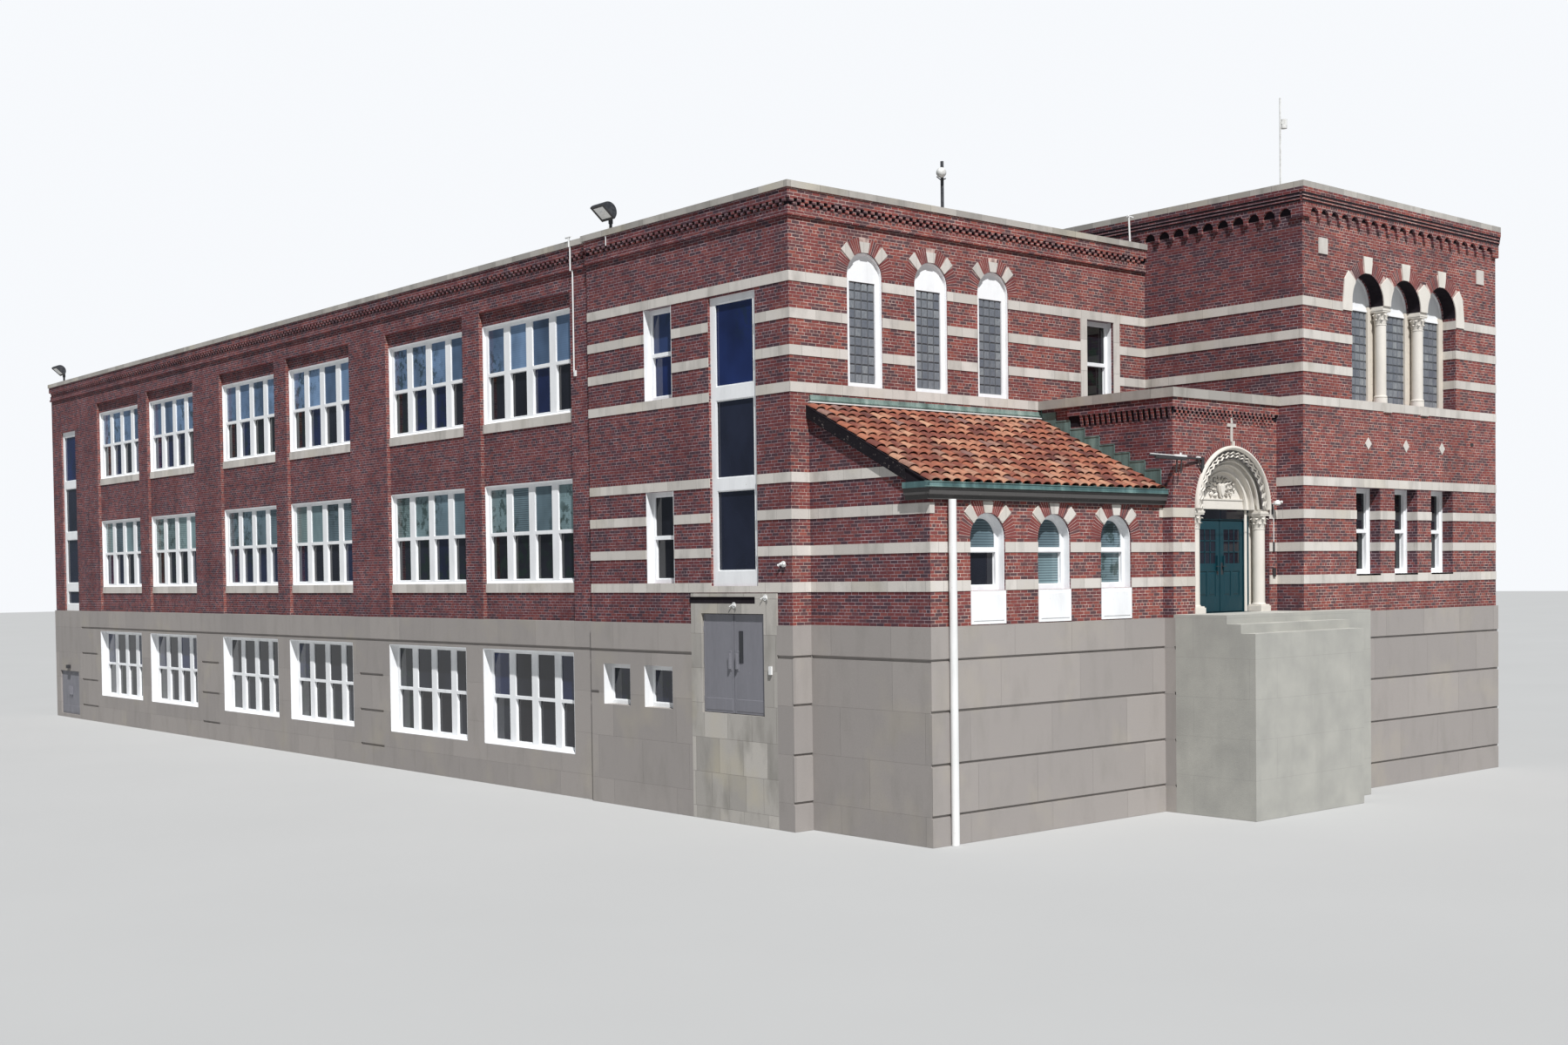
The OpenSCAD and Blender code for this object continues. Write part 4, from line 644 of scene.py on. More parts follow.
def arched_light(cx, low_tint):
    """A sash of the lean-to under an arched one, with the arched pane."""
    r, meeting = ARCH_R - FRAME_BAR, z_at(21)
    low, d = meeting + MEETING_GAP, (-INSET - OUTER_SASH - SASH_T, -INSET - OUTER_SASH)
    light(LEANTO_FRONT, around(cx, r), (LEANTO_SILL + FRAME_BAR, meeting), INSET + INNER_SASH, low_tint,
          head=MEETING_RAIL)
    for side in (-1, 1):
        sashes.box(LEANTO_FRONT, sorted((cx + side * r, cx + side * (r - STILE))), d, (low, LEANTO_SPRING))
    sashes.box(LEANTO_FRONT, around(cx, r), d, (low, low + RAIL))
    bar = (meeting + 0.006, meeting + 0.034)
    sashes.box(LEANTO_FRONT, around(cx, r), (-INSET - 0.03, -INSET + 0.004), bar)
    sashes.hoop(LEANTO_FRONT, cx, LEANTO_SPRING, (r, r - STILE), d)
    inner = r - STILE
    head = half_round(cx, LEANTO_SPRING, inner, 8)
    panes.slab(LEANTO_FRONT, [(cx - inner, low + RAIL), (cx + inner, low + RAIL)] + head,
               *glazing(INSET + OUTER_SASH), 0.44)


def arch_lined(place, cx, sill, spring, depth, out):
    """White boards on the reveals of an arched opening, round its head too."""
    lined(place, cx, 2 * ARCH_R, (sill, spring), depth, out)
    linings.hoop(place, cx, spring, (ARCH_R, ARCH_R - LINING_T), (-depth, out))


for x in ARCHES:
    arched_light(x, 0.15 if x < 1.1 else 0.46)
    arch_lined(LEANTO_FRONT, x, LEANTO_SILL, LEANTO_SPRING, REVEAL, -0.014)
    arch_lined(MAIN_FRONT, x, UPPER_SILL, UPPER_SPRING, 0.042, -0.006)
    linings.box(LEANTO_FRONT, around(x, ARCH_R), (0, 0.008), rows(0.3, 9.9))
    linings.boss(LEANTO_FRONT, around(x, ARCH_R - 0.03), (0.008, 0.014), rows(1.2, 9), 0.006)
for x in TOWER_WINDOWS:
    lined(TOWER_FRONT, x, 2 * TOWER_HALF, LOWER_LIGHT, 0.162, -0.138)
    linings.box(TOWER_FRONT, around(x, TOWER_HALF), (-0.162, 0.006), (z_at(12.4), LOWER_LIGHT[0]))
sashes.make()
panes.make("window_glass")
linings.make()

# Glass block panels
glass_blocks = Piece("glass_block_grid", BLOCK, "glass_block", smooth=30)
block_heads = Piece("block_panel_heads", WHITE, "white_frame")
block_bed = Piece("block_joints", JOINTS, "glass_block")
BLOCK_ROWS, BLOCK_JOINT = 11, 0.0025
ARCH_COLUMNS, TOWER_COLUMNS, ARCH_PANEL_W, PANEL_TOP = 4, 7, 0.37, 105.2


def block_panel(place, cx, width, columns, depth, z0, z1):
    pitch, rise, face = width / columns, (z1 - z0) / BLOCK_ROWS, (-depth - 0.01, -depth + 0.002)
    block_bed.box(place, around(cx, width / 2), (-depth - 0.03, -depth - 0.005), (z0, z1))
    for i in range(columns):
        for k in range(BLOCK_ROWS):
            a, z = cx - width / 2 + i * pitch, z0 + k * rise
            glass_blocks.boss(place, (a + BLOCK_JOINT, a + pitch - BLOCK_JOINT), face,
                              (z + BLOCK_JOINT, z + rise - BLOCK_JOINT), 0.01, rng.betavariate(2, 2))


def arched_head(cx, r, depth):
    """The closed white panel over the tower's glass blocks, with its rim and transom."""
    foot = z_at(105.6)
    outline = [(cx + r, foot), *half_round(cx, UPPER_SPRING, r, 6), (cx - r, foot)]
    block_heads.slab(TOWER_FRONT, outline, -depth - 0.02, -depth)
    block_heads.box(TOWER_FRONT, around(cx, r), (-depth - 0.01, -depth + 0.012), rows(PANEL_TOP, 105.8))
    block_heads.hoop(TOWER_FRONT, cx, UPPER_SPRING, (r, r - 0.02), (-depth, -depth + 0.008))


for x in ARCHES:
    block_panel(MAIN_FRONT, x, ARCH_PANEL_W, ARCH_COLUMNS, 0.052, UPPER_SILL + FRAME_BAR, z_at(105.5))
for x in TOWER_WINDOWS:
    block_panel(TOWER_FRONT, x, 2 * BELFRY_R, TOWER_COLUMNS, 0.197, z_at(73.25), z_at(PANEL_TOP))
    arched_head(x, BELFRY_R, 0.192)
glass_blocks.make("glass_blocks")
block_bed.make()
block_heads.make()

# Band stones on the tower's reveals, and the two blocks under its columns
returns = Piece("band_returns", LIMESTONE, "limestone")
RETURN_T, BAND_ROWS = 0.005, 3
LOWER_EDGES = [x + side * TOWER_HALF for x in TOWER_WINDOWS for side in (-1, 1)]
UPPER_EDGES = [TOWER_WINDOWS[0] - BELFRY_R, TOWER_WINDOWS[2] + BELFRY_R]
for edges, depth, tops in ((LOWER_EDGES, 0.137, (24, 35)), (UPPER_EDGES, 0.169, (84, 95, 106))):
    for k, edge in enumerate(edges):
        inward = RETURN_T if k % 2 == 0 else -RETURN_T
        for row in tops:
            z = rows(row - BAND_ROWS, row)
            returns.box(TOWER_FRONT, sorted((edge, edge + inward)), (-depth, 0.006), z)
for side in (-1, 1):
    block = around(TOWER_X + side * TOWER_PITCH / 2, 0.085)
    returns.boss(TOWER_FRONT, block, (0, 0.022), rows(69.6, 73.1), 0.005)
returns.make()

# Brick courses that stand out
cornice = Piece("cornice_brick", BRICK, "brick")
shade_strips = Piece("cornice_painted_shade", SHADE_BLACK, "brick")
voussoirs = Piece("arch_brick", BRICK_CUT, "brick")
DENTIL, DENTIL_PITCH = 0.051, 0.1025
SMALL_DENTIL, SMALL_PITCH = 0.038, 0.0755
SHADE_STRIP_T = 0.002


def dentil_row(place, a0, a1, out, row, shift=0, width=DENTIL, pitch=DENTIL_PITCH):
    for k in range(int((a1 - a0 - shift) / pitch)):
        a = a0 + shift + k * pitch
        cornice.box(place, (a, a + width), (0, out), rows(row, row + 1))


def main_cornice(place, a0, a1, corner0=0, corner1=0):
    """A plain frieze over two staggered rows of headers with a painted-shade strip behind them, and a
    projecting lip course.
    """
    for out, low, high in ((0.034, 127.4, 130.4), (0.014, 123.4, 125.4), (0.026, 122.4, 123.4)):
        cornice.box(place, (a0 - out * corner0, a1 + out * corner1), (0, out), rows(low, high))
    shade_strips.box(place, (a0, a1), (0, SHADE_STRIP_T), rows(125.4, 127.4))
    dentil_row(place, a0, a1, 0.034, 126.4)
    dentil_row(place, a0, a1, 0.026, 125.4, DENTIL_PITCH / 2)


main_cornice(MAIN_FRONT, 0, TOWER[0], corner0=1)
main_cornice(MAIN_LEFT, 0, PAVILION)
main_cornice(WING_LEFT, PAVILION, MAIN_LEN)
main_cornice(back(MAIN_LEN), WING_X, MAIN_W, 1, 1)
main_cornice(right(MAIN_W), TOWER[3] + 0.04, MAIN_LEN)

# Courses under the tower's coping, each standing out over a bed joint strip in painted shade
TOWER_SIDES = ((TOWER_FRONT, TOWER[0], TOWER[1], 1), (back(TOWER[3]), TOWER[0], TOWER[1], 1),
               (left(TOWER[0]), TOWER[2], TOWER[3], 0), (right(TOWER[1]), TOWER[2], TOWER[3], 0))
for k in range(3):
    foot, out = 137 + 1.2 * k, 0.035 + 0.005 * k
    joint, lip = out + 0.0006, min(out + 0.005, 0.0495)
    bed, top = z_at(foot + 0.62), z_at(foot + 1.2)
    for place, a0, a1, turn in TOWER_SIDES:
        shade_strips.box(place, (a0 - joint * turn, a1 + joint * turn), (0.03, joint), (z_at(foot), bed))
        cornice.box(place, (a0 - lip * turn, a1 + lip * turn), (0.03, lip), (bed, top))
# Painted shade at the back of the corbel arches, over more rows on the left face.
shade_strips.box(left(TOWER[0]), (TOWER[2] + 0.02, 0), (0, SHADE_STRIP_T), rows(133.2, 136))
shade_strips.box(TOWER_FRONT, (TOWER[0], TOWER[1]), (0, SHADE_STRIP_T), rows(134.5, 136))
# Painted shade on the arch soffits of the tower's glass block windows.
for x in TOWER_WINDOWS:
    shade_strips.hoop(TOWER_FRONT, x, UPPER_SPRING, (BELFRY_R, BELFRY_R - 0.003), (-0.16, -0.004))

# The entrance block's lip over headers that step back as they go down
BLOCK_LIP, LIP_OUT, LIP_END = rows(67, 70), 0.03, -0.42
cornice.box(ENTRANCE_FRONT, (ENTRANCE[0] - LIP_OUT, ENTRANCE[1]), (0, LIP_OUT), BLOCK_LIP)
cornice.box(ENTRANCE_SIDE, (ENTRANCE[2], LIP_END), (0, LIP_OUT), BLOCK_LIP)
for row, out in ((66, 0.03), (65, 0.016), (64, 0.012), (63, 0.008)):
    shift = SMALL_DENTIL * (row % 2)
    dentil_row(ENTRANCE_FRONT, ENTRANCE[0] + 0.01, ENTRANCE[1], out, row, shift, SMALL_DENTIL, SMALL_PITCH)
for k in range(17):
    a = ENTRANCE[2] + 0.012 + k * SMALL_PITCH
    width = (a, a + 0.034)
    cornice.loft(ENTRANCE_SIDE, (width, (0, 0.004), z_at(63)), (width, (0, LIP_OUT), z_at(67)))
# Strips in painted shade behind the headers of the entrance block.
shade_strips.box(ENTRANCE_FRONT, (ENTRANCE[0], ENTRANCE[1]), (0, SHADE_STRIP_T), rows(64.6, 67))
shade_strips.box(ENTRANCE_SIDE, (ENTRANCE[2], LIP_END), (0, SHADE_STRIP_T), rows(63.4, 67))

# The slot in the stone over the side door, its back in painted shade
shade_strips.box(BASE_LEFT, (0.575, 1.7), (-0.015, -0.0125), rows(6.5, 8.65))
cornice.make()
shade_strips.make()


def arch_brick(place, cx, spring, r, gaps, count):
    """Bricks on edge round an arch in pale mortar, leaving out the angles where stones stand."""
    r0, r1 = r
    voussoirs.hoop(place, cx, spring, r, (0, 0.0028), steps=40, tint=0)
    for k in range(count):
        t0, t1 = pi * (k + 0.09) / count, pi * (k + 0.91) / count
        middle = degrees((t0 + t1) / 2)
        if any(abs(middle - g) < w for g, w in gaps):
            continue
        corners = [(cx + e * cos(t), d, spring + e * sin(t))
                   for d in (0, 0.0035) for e, t in ((r0, t0), (r1, t0), (r1, t1), (r0, t1))]
        voussoirs.hexa(place, corners, rng.choice((0.2, 0.33, 0.4, 0.46, 0.5, 0.56, 0.66)))


ARCH_BRICKS, BELFRY_BRICKS, PORTAL_BRICKS = (0.252, 0.41), (0.347, 0.5), (0.705, 0.765)
STONES = ((90, 11), (45, 9), (135, 9))
TOWER_STONES = ((90, 14), (0, 46), (180, 46))
for x in ARCHES:
    arch_brick(MAIN_FRONT, x, UPPER_SPRING, ARCH_BRICKS, STONES, 36)
    arch_brick(LEANTO_FRONT, x, LEANTO_SPRING, ARCH_BRICKS, STONES, 36)
for x in TOWER_WINDOWS:
    arch_brick(TOWER_FRONT, x, UPPER_SPRING, BELFRY_BRICKS, TOWER_STONES, 40)
arch_brick(ENTRANCE_FRONT, PORTAL_X, SPRING, PORTAL_BRICKS, (), 60)
voussoirs.make()

# Barrel tile roof
tile_roof = Piece("barrel_tiles", TILE, "clay_tile", smooth=50)
# The underlay and the end board at the left are real parts, coloured with the near-black paint of painted
# shade so the gaps between tiles read as shade.
tile_bed = Piece("roof_underlay", SHADE_BLACK, "dark_board")
EAVE = (-1.76, EAVE_TOP - 0.05 * 0.495)
TOP = (0, z_at(67.4))
SLOPE = atan2(TOP[1] - EAVE[1], TOP[0] - EAVE[0])
ROOF_LEN = hypot(TOP[0] - EAVE[0], TOP[1] - EAVE[1])
TILE_ROWS, TILE_COLUMNS = 12, 25
ROOF_X = (0.21, 3.812)
TILE_W = (ROOF_X[1] - ROOF_X[0]) / TILE_COLUMNS
TILE_T, LAP = 0.007, 1.16
EXPOSED = ROOF_LEN / TILE_ROWS
CROWN, ARCHED, PAN_LIFT = 0.04, 0.56, 0.02


def on_roof(x, s, h):
    """A place on the roof: s up the slope from the eave, h above the tile bed."""
    return (x, EAVE[0] + s * cos(SLOPE) - h * sin(SLOPE),
            EAVE[1] - CROWN + s * sin(SLOPE) + h * cos(SLOPE))


def barrel(x, s0, s1, r0, r1, rise, up, tint):
    """A half-round tile, wider at its lower end; up is 1 for a cover and -1 for a pan."""
    loops = []
    for s, r, lift in ((s0, r0, rise), (s1, r1, 0)):
        skins = ((r, range(9)), (r - TILE_T, range(8, -1, -1)))
        skin = [(e, pi * k / 8) for e, steps in skins for k in steps]
        base = lift + (0 if up > 0 else PAN_LIFT)
        loops.append([on_roof(x + e * cos(t), s, base + up * ARCHED * e * sin(t)) for e, t in skin])
    tile_roof.rings(loops, tint=tint)


def fired(middle, width):
    return min(1, max(0, rng.gauss(middle, width)))


for j in range(TILE_ROWS):
    for i in range(TILE_COLUMNS):
        x = ROOF_X[0] + (i + 0.5) * TILE_W
        s0 = max(0, j * EXPOSED + 0.01 * sin(i * 0.9 + j * 1.3) + rng.uniform(-0.008, 0.008))
        s1 = min(s0 + EXPOSED * LAP, ROOF_LEN)
        wobble = rng.uniform(-0.003, 0.003)
        barrel(x + wobble, s0, s1, 0.064, 0.052, 0.017, 1, fired(0.5, 0.27))
        if i:
            barrel(x - TILE_W / 2, s0, s1, 0.036, 0.03, 0.006, -1, fired(0.4, 0.2))
tile_bed.box(on_roof, ROOF_X, (0.03, ROOF_LEN), (-0.012, 0))
end_board = [(-1.71, z_at(40.4)), (-1.42, z_at(40.4)), (-1.42, z_at(45.1)), (-1.71, z_at(40.9))]
tile_bed.slab(left(LEANTO[0]), end_board, 0, 0.03)
tile_roof.make("leanto_roof")
tile_bed.make()

# Copper flashing over the tiles, with its seams, and the lead edge below it
ridge = Piece("top_flashing", WASHED, "green_copper")
FLASHING_X, FLASHING_Z, SEAM_PITCH, SEAM_W = 0.26, rows(67.3, 69.4), 0.45, 0.008
ridge.box(MAIN_FRONT, (FLASHING_X, LEANTO[1]), (0, 0.008), FLASHING_Z)
ridge.box(MAIN_FRONT, (FLASHING_X, LEANTO[1]), (0, 0.022), rows(67.9, 68.2))
for k in range(8):
    x = FLASHING_X + k * SEAM_PITCH
    ridge.box(MAIN_FRONT, (x, x + SEAM_W), (0, 0.012), FLASHING_Z)
ridge.make()
lead = Piece("lead_edge", METAL, "white_metal")
lead.box(MAIN_FRONT, (0.24, 3.8), (0, 0.034), rows(67, 67.35))
lead.make()

# Stepped flashing up the entrance block, and the straps of the gutter
flashing = Piece("copper_flashing", COPPER, "green_copper")
STEP, STEP_RISE = 0.2095, 3.04
for k in range(9):
    y0 = -1.7 + k * STEP
    y1 = min(y0 + STEP, -0.004)
    foot = EAVE[1] - 0.03 + (y0 - EAVE[0]) * tan(SLOPE)
    top = z_at(47.6 + k * STEP_RISE)
    flashing.box(ENTRANCE_SIDE, (y0 + 0.004, y1), (0, 0.007), (foot, top))
    flashing.box(ENTRANCE_SIDE, (y0, y0 + 0.01), (0, 0.011), (foot, top))
    flashing.box(ENTRANCE_SIDE, (y0, y1), (0, 0.012), (top - 0.012, top))
STRAP_X, STRAP_PITCH, STRAP_W = 0.32, 0.57, 0.014
for k in range(7):
    x = STRAP_X + k * STRAP_PITCH
    flashing.box(LEANTO_FRONT, (x, x + STRAP_W), (0.01, 0.083), rows(41, 41.25))
flashing.make()
# Two rods along the gutter's top and bottom edges: its rolled edges, in lighter copper as a painted
# highlight.
gutter_shine = Piece("gutter_highlights", COPPER, "green_copper", smooth=40)
GUTTER_SHINE_Y = LEANTO[2] - 0.082
for drop in (0.056, 0.101):
    z = EAVE_TOP - drop
    gutter_shine.rod((0.1, GUTTER_SHINE_Y, z), (LEANTO[1], GUTTER_SHINE_Y, z), 0.005)
gutter_shine.make()
# The beads under the gutter, in the beige paint darkened as painted shade.
moulding = Piece("eave_bead", SHADED_BEIGE, "beige_paint", smooth=40)
for row, r, d in ((39, 0.01, 0.066), (37.2, 0.007, 0.043), (36, 0.006, 0.035)):
    moulding.rod((0.19, LEANTO[2] - d, z_at(row)), (LEANTO[1], LEANTO[2] - d, z_at(row)), r, 10)
moulding.make()

# The portal's carving
carving = Piece("portal_carving", CARVED, "limestone", smooth=45)
PORTAL_ROLL = [(0.7, 0), (0.702, 0.02), (0.694, 0.036), (0.676, 0.04), (0.662, 0.028), (0.656, 0)]
carving.arc(ENTRANCE_FRONT, PORTAL_X, SPRING, PORTAL_ROLL, steps=40)
TEETH, TOOTH_OUT, TOOTH_HALF = 20, 0.02, 0.009
# The second tint darkens carved stone as painted shade in hollows and behind carving; the first keeps the
# stone's own colour.
LIT, SHADE_TINT = 0.5, 1


def zigzag(r_in, r_out):
    """A raised ridge that runs to and fro round the arch."""
    loops = []
    for k in range(2 * TEETH + 1):
        t = pi * k / (2 * TEETH)
        r = r_in if k % 2 else r_out
        loops.append([(PORTAL_X + (r + e) * cos(t), d, SPRING + (r + e) * sin(t))
                      for e, d in ((-TOOTH_HALF, 0), (0, TOOTH_OUT), (TOOTH_HALF, 0))])
    carving.rings(loops, ENTRANCE_FRONT)


# A dark ring of painted shade behind the zigzags.
carving.hoop(ENTRANCE_FRONT, PORTAL_X, SPRING, (0.556, 0.652), (0, 0.003), steps=40, tint=SHADE_TINT)
zigzag(0.61, 0.634)
zigzag(0.572, 0.596)
RING_DEPTH = 0.0425
ring_face = front(ENTRANCE[2] + RING_DEPTH)
for r, d0, d1 in ((0.545, 0, 0.016), (0.505, -RING_DEPTH, -0.026), (0.43, -2 * RING_DEPTH, -0.069)):
    bead = [(r, d0), (r - 0.004, d1), (r - 0.014, d1), (r - 0.018, d0)]
    carving.arc(ring_face, PORTAL_X, SPRING, bead, steps=32)
panel = front(DOOR_FRAME_Y)
carving.box(panel, around(PORTAL_X, 0.41), (0, 0.018), (SPRING + 0.004, SPRING + 0.105))
carving.box(panel, around(PORTAL_X, 0.41), (0, 0.026), (SPRING + 0.105, SPRING + 0.12))


def shield(scale, d0, d1):
    """A plain shield on a slightly larger ground painted dark as its shade."""
    half = [(0, -1), (0.3, -0.66), (0.5, -0.15), (0.56, 0.5), (0.3, 0.62), (0, 0.48)]
    outline = half + [(-a, z) for a, z in half[4:0:-1]]
    for k, d, tint in ((1, (d0, d1), LIT), (1.16, (0, 0.004), SHADE_TINT)):
        shape = [(PORTAL_X + a * scale * k, SPRING + 0.225 + z * scale * k) for a, z in outline]
        carving.slab(panel, shape, *d, tint)


def leaf(root, tip, width, lift, tint=LIT):
    """A ribbed leaf that rises from the panel between two points."""
    (a0, z0), (a1, z1) = root, tip
    length = hypot(a1 - a0, z1 - z0)
    ux, uz = (a1 - a0) / length, (z1 - z0) / length
    loops = []
    for k in range(5):
        s = k / 4
        w = width * sin(pi * (0.12 + 0.86 * s))
        h = lift * sin(pi * (0.1 + 0.8 * s))
        cx, cz = a0 + ux * length * s, z0 + uz * length * s
        loops.append([(cx - uz * w * e, h * f, cz + ux * w * e)
                      for e, f in ((-1, 0), (-0.5, 0.75), (0, 0.5), (0.5, 1), (1, 0))])
    carving.rings(loops, panel, tint)


shield(0.11, 0, 0.03)
shield(0.08, 0.03, 0.042)
LEAVES = ((0.045, 0.3, 0.055, 0.055, 0.015), (0.07, 0.265, 0.085, 0.04, 0.017),
          (0.075, 0.225, 0.09, 0.000, 0.016), (0.06, 0.185, 0.075, -0.035, 0.014),
          (0.02, 0.32, 0.022, 0.05, 0.012), (0.15, 0.285, 0.055, 0.03, 0.013),
          (0.165, 0.235, 0.065, 0.01, 0.013), (0.15, 0.19, 0.055, -0.02, 0.012))
DISCS = ((0.115, 0.335, 0.016), (0.235, 0.29, 0.015), (0.25, 0.225, 0.014), (0.185, 0.165, 0.014))
for side in (-1, 1):
    for a, z, da, dz, w in LEAVES:
        root = (PORTAL_X + side * a, SPRING + z)
        leaf(root, (root[0] + side * da, root[1] + dz), w, 0.03)
        # A larger, flatter copy under each leaf is painted shade.
        leaf(root, (root[0] + side * da * 1.12, root[1] + dz * 1.12), w + 0.007, 0.005, SHADE_TINT)
    for a, z, r in DISCS:
        at = (panel, PORTAL_X + side * a, SPRING + z)
        carving.arc(*at, [(r, 0), (r, 0.02), (r * 0.55, 0.024), (r * 0.4, 0)], 360, 12)
        # A dark ring of painted shade behind each boss.
        carving.hoop(*at, (r + 0.006, r * 0.3), (0, 0.003), end=360, steps=12, tint=SHADE_TINT)
carving.box(ENTRANCE_FRONT, (PORTAL_X - 0.024, PORTAL_X + 0.004), (0, 0.03), rows(55.6, 57.2))


def capital_leaf(x, y, z, r, turn, tier, rise, out):
    """One leaf of a capital, standing off the column and curling over at its tip."""
    along, away = Vector((-sin(turn), cos(turn), 0)), Vector((cos(turn), sin(turn), 0))
    loops = []
    for s in range(5):
        u = s / 4
        w = 0.024 * sin(pi * (0.2 + 0.72 * u)) + 0.002
        bend = r * 0.98 + tier * 0.12 + out * u ** 2.5
        centre = Vector((x, y, z + tier + rise * (u if u < 0.8 else 1.6 - u))) + away * bend
        loops.append([tuple(centre + along * w * e + away * f)
                      for e, f in ((-1, 0), (0, 0.007), (1, 0), (0, -0.006))])
    carving.rings(loops)


# Bases, capitals and mouldings of the portal's columns and the tower's: x, y, foot, top and width
PORTAL_COLUMN = (-1.765, LANDING_Z, SPRING, 0.137)
TOWER_COLUMN = (TOWER[2] + 0.135 * 0.645, UPPER_SILL, UPPER_SPRING, 0.135)
COLUMNS = [(PORTAL_X + side * 0.615, *PORTAL_COLUMN) for side in (-1, 1)]
COLUMNS += [(TOWER_X + side * TOWER_PITCH / 2, *TOWER_COLUMN) for side in (-1, 1)]
for x, y, foot, top, d in COLUMNS:
    r, neck = d / 2, top - 1.5 * d
    carving.turned(x, y, [(r * 0.9, foot + 0.068), (r * 1.14, foot + 0.072), (r * 1.18, foot + 0.082),
                          (r * 1.08, foot + 0.094), (r * 0.9, foot + 0.096)])
    # The capital's core is painted dark as shade behind its carved foliage.
    carving.turned(x, y, [(r * 1.01, neck), (r * 1.02, neck + 0.05), (r * 1.12, top - d * 0.5)], SHADE_TINT)
    carving.turned(x, y, [(r * 0.9, neck - 0.02), (r * 1.08, neck - 0.016),
                          (r * 1.08, neck - 0.006), (r * 0.9, neck)])
    for tier, shift, rise, out in ((0, 0, 0.075, 0.028), (0.045, 0.5, 0.085, 0.036)):
        for k in range(8):
            capital_leaf(x, y, neck, r, tau * (k + shift) / 8, tier, rise, out)
    blocks = [(d * 0.59 * 1.06, top - d * 0.5, top - d * 0.36),
              (d * 0.59 * 1.12, top - d * 0.36, top - d * 0.2)]
    if foot == LANDING_Z:
        blocks += [(0.095, foot, foot + 0.062), (0.084, foot + 0.062, foot + 0.078)]
    for half, low, high in blocks:
        carving.box(None, around(x, half), around(y, half), (low, high))
carving.make()


# Doors
def from_hinge(hinge, meet):
    """Ranges across a leaf, measured from its hinge towards the other leaf."""
    side = 1 if meet > hinge else -1
    return side, lambda u0, u1: sorted((hinge + side * u0, hinge + side * u1))


def entrance_leaf(name, hinge, meet):
    """Stiles and rails over two lower panels and a nine-light window, with a pull handle."""
    piece = Piece(name + "_panels", TEAL, "teal_door", name)
    glass = Piece(name + "_glass", GLASS, "pane", name)
    metal = Piece(name + "_fittings", IRON, "dark_board", name, smooth=40)
    place, out = front(LEAF_FACE_Y), (0, 0.006)
    side, a = from_hinge(hinge, meet)
    low, high = LANDING_Z + 0.008, z_at(31.5) - 0.008
    lower, upper, wide = rows(6.3, 14.6), rows(17.2, 28.4), (0.075, 0.375)
    for u0, u1 in ((0.024, wide[0]), (wide[1], 0.443)):
        piece.box(place, a(u0, u1), out, (low, high))
    for z in ((low, lower[0]), (lower[1], upper[0]), (upper[1], high)):
        piece.box(place, a(*wide), out, z)
    piece.box(place, a(0.21, 0.24), out, lower)
    for u0, u1 in ((0.085, 0.2), (0.25, 0.365)):
        piece.boss(place, a(u0, u1), (0, 0.005), rows(6.7, 14.2), 0.014)
    for k in (1, 2):
        piece.box(place, a(*around(wide[0] + 0.1 * k, 0.006)), out, upper)
        z = upper[0] + (upper[1] - upper[0]) * k / 3
        piece.box(place, a(*wide), out, around(z, 0.006))
    glass.box(place, a(*wide), (0, 0.0015), upper, 0.2)
    metal.boss(place, a(0.395, 0.425), (0.006, 0.01), rows(13.4, 17.4), 0.003)
    x, y, z = place(hinge + side * 0.41, 0, z_at(16.2))
    metal.rod((x, y - 0.008, z), (x, y - 0.028, z), 0.006)
    metal.rod((x, y - 0.026, z), (x - side * 0.05, y - 0.026, z), 0.005)
    piece.make()
    glass.make()
    metal.make()


entrance_leaf("entrance_door_left", PORTAL_X - ENTRANCE_LEAF, PORTAL_X)
entrance_leaf("entrance_door_right", PORTAL_X + ENTRANCE_LEAF, PORTAL_X)
stiles = Piece("entrance_stiles", CARVED, "limestone")
for side in (-1, 1):
    a = sorted((PORTAL_X + side * 0.455, PORTAL_X + side * 0.497))
    stiles.box(panel, a, (0, 0.01), (LANDING_Z, TRANSOM_TOP))
stiles.make()

# Each pair of steel leaves: its face, where its leaves meet, and its heights
SIDE_DOOR = (left(0.008), 0.962, rows(-28, 3.4))
FAR_DOOR = (left(0.058), 21.77, rows(-60, -35))


def steel_leaf(name, doorway, hinge, slot_pane=False):
    """A flush steel leaf with pressed edges, a kick plate and a lock plate."""
    place, meet, (z0, z1) = doorway
    piece = Piece(name + "_plates", GREY_DOOR, "grey_door", name)
    a, w, height = from_hinge(hinge, meet)[1], abs(meet - hinge), z1 - z0
    piece.boss(place, a(0.03, w - 0.03), (0, 0.003), (z0 + 0.03, z0 + 0.16), 0.003)
    for u0, u1 in ((0.01, 0.026), (w - 0.022, w - 0.008)):
        piece.box(place, a(u0, u1), (0, 0.003), (z0 + 0.01, z1 - 0.01))
    piece.box(place, a(0.026, w - 0.022), (0, 0.003), (z1 - 0.026, z1 - 0.01))
    piece.boss(place, a(w - 0.08, w - 0.04), (0, 0.004), (z0 + height * 0.43, z0 + height * 0.63), 0.003)
    piece.make()
    if slot_pane:
        glass = Piece(name + "_vision_slot", GLASS, "pane", name)
        glass.boss(place, a(0.37, 0.44), (0, 0.006), rows(-12, -2), 0.006, 0.15)
        glass.make()


steel_leaf("side_door_left", SIDE_DOOR, 1.484)
steel_leaf("side_door_right", SIDE_DOOR, 0.44, slot_pane=True)
steel_leaf("far_door_left", FAR_DOOR, 22.295)
steel_leaf("far_door_right", FAR_DOOR, 21.245)

# Lamps, pipes and small fittings
iron = Piece("dark_fittings", IRON, "dark_board", smooth=40)
lamps = Piece("small_lamps", METAL, "white_metal", smooth=40)


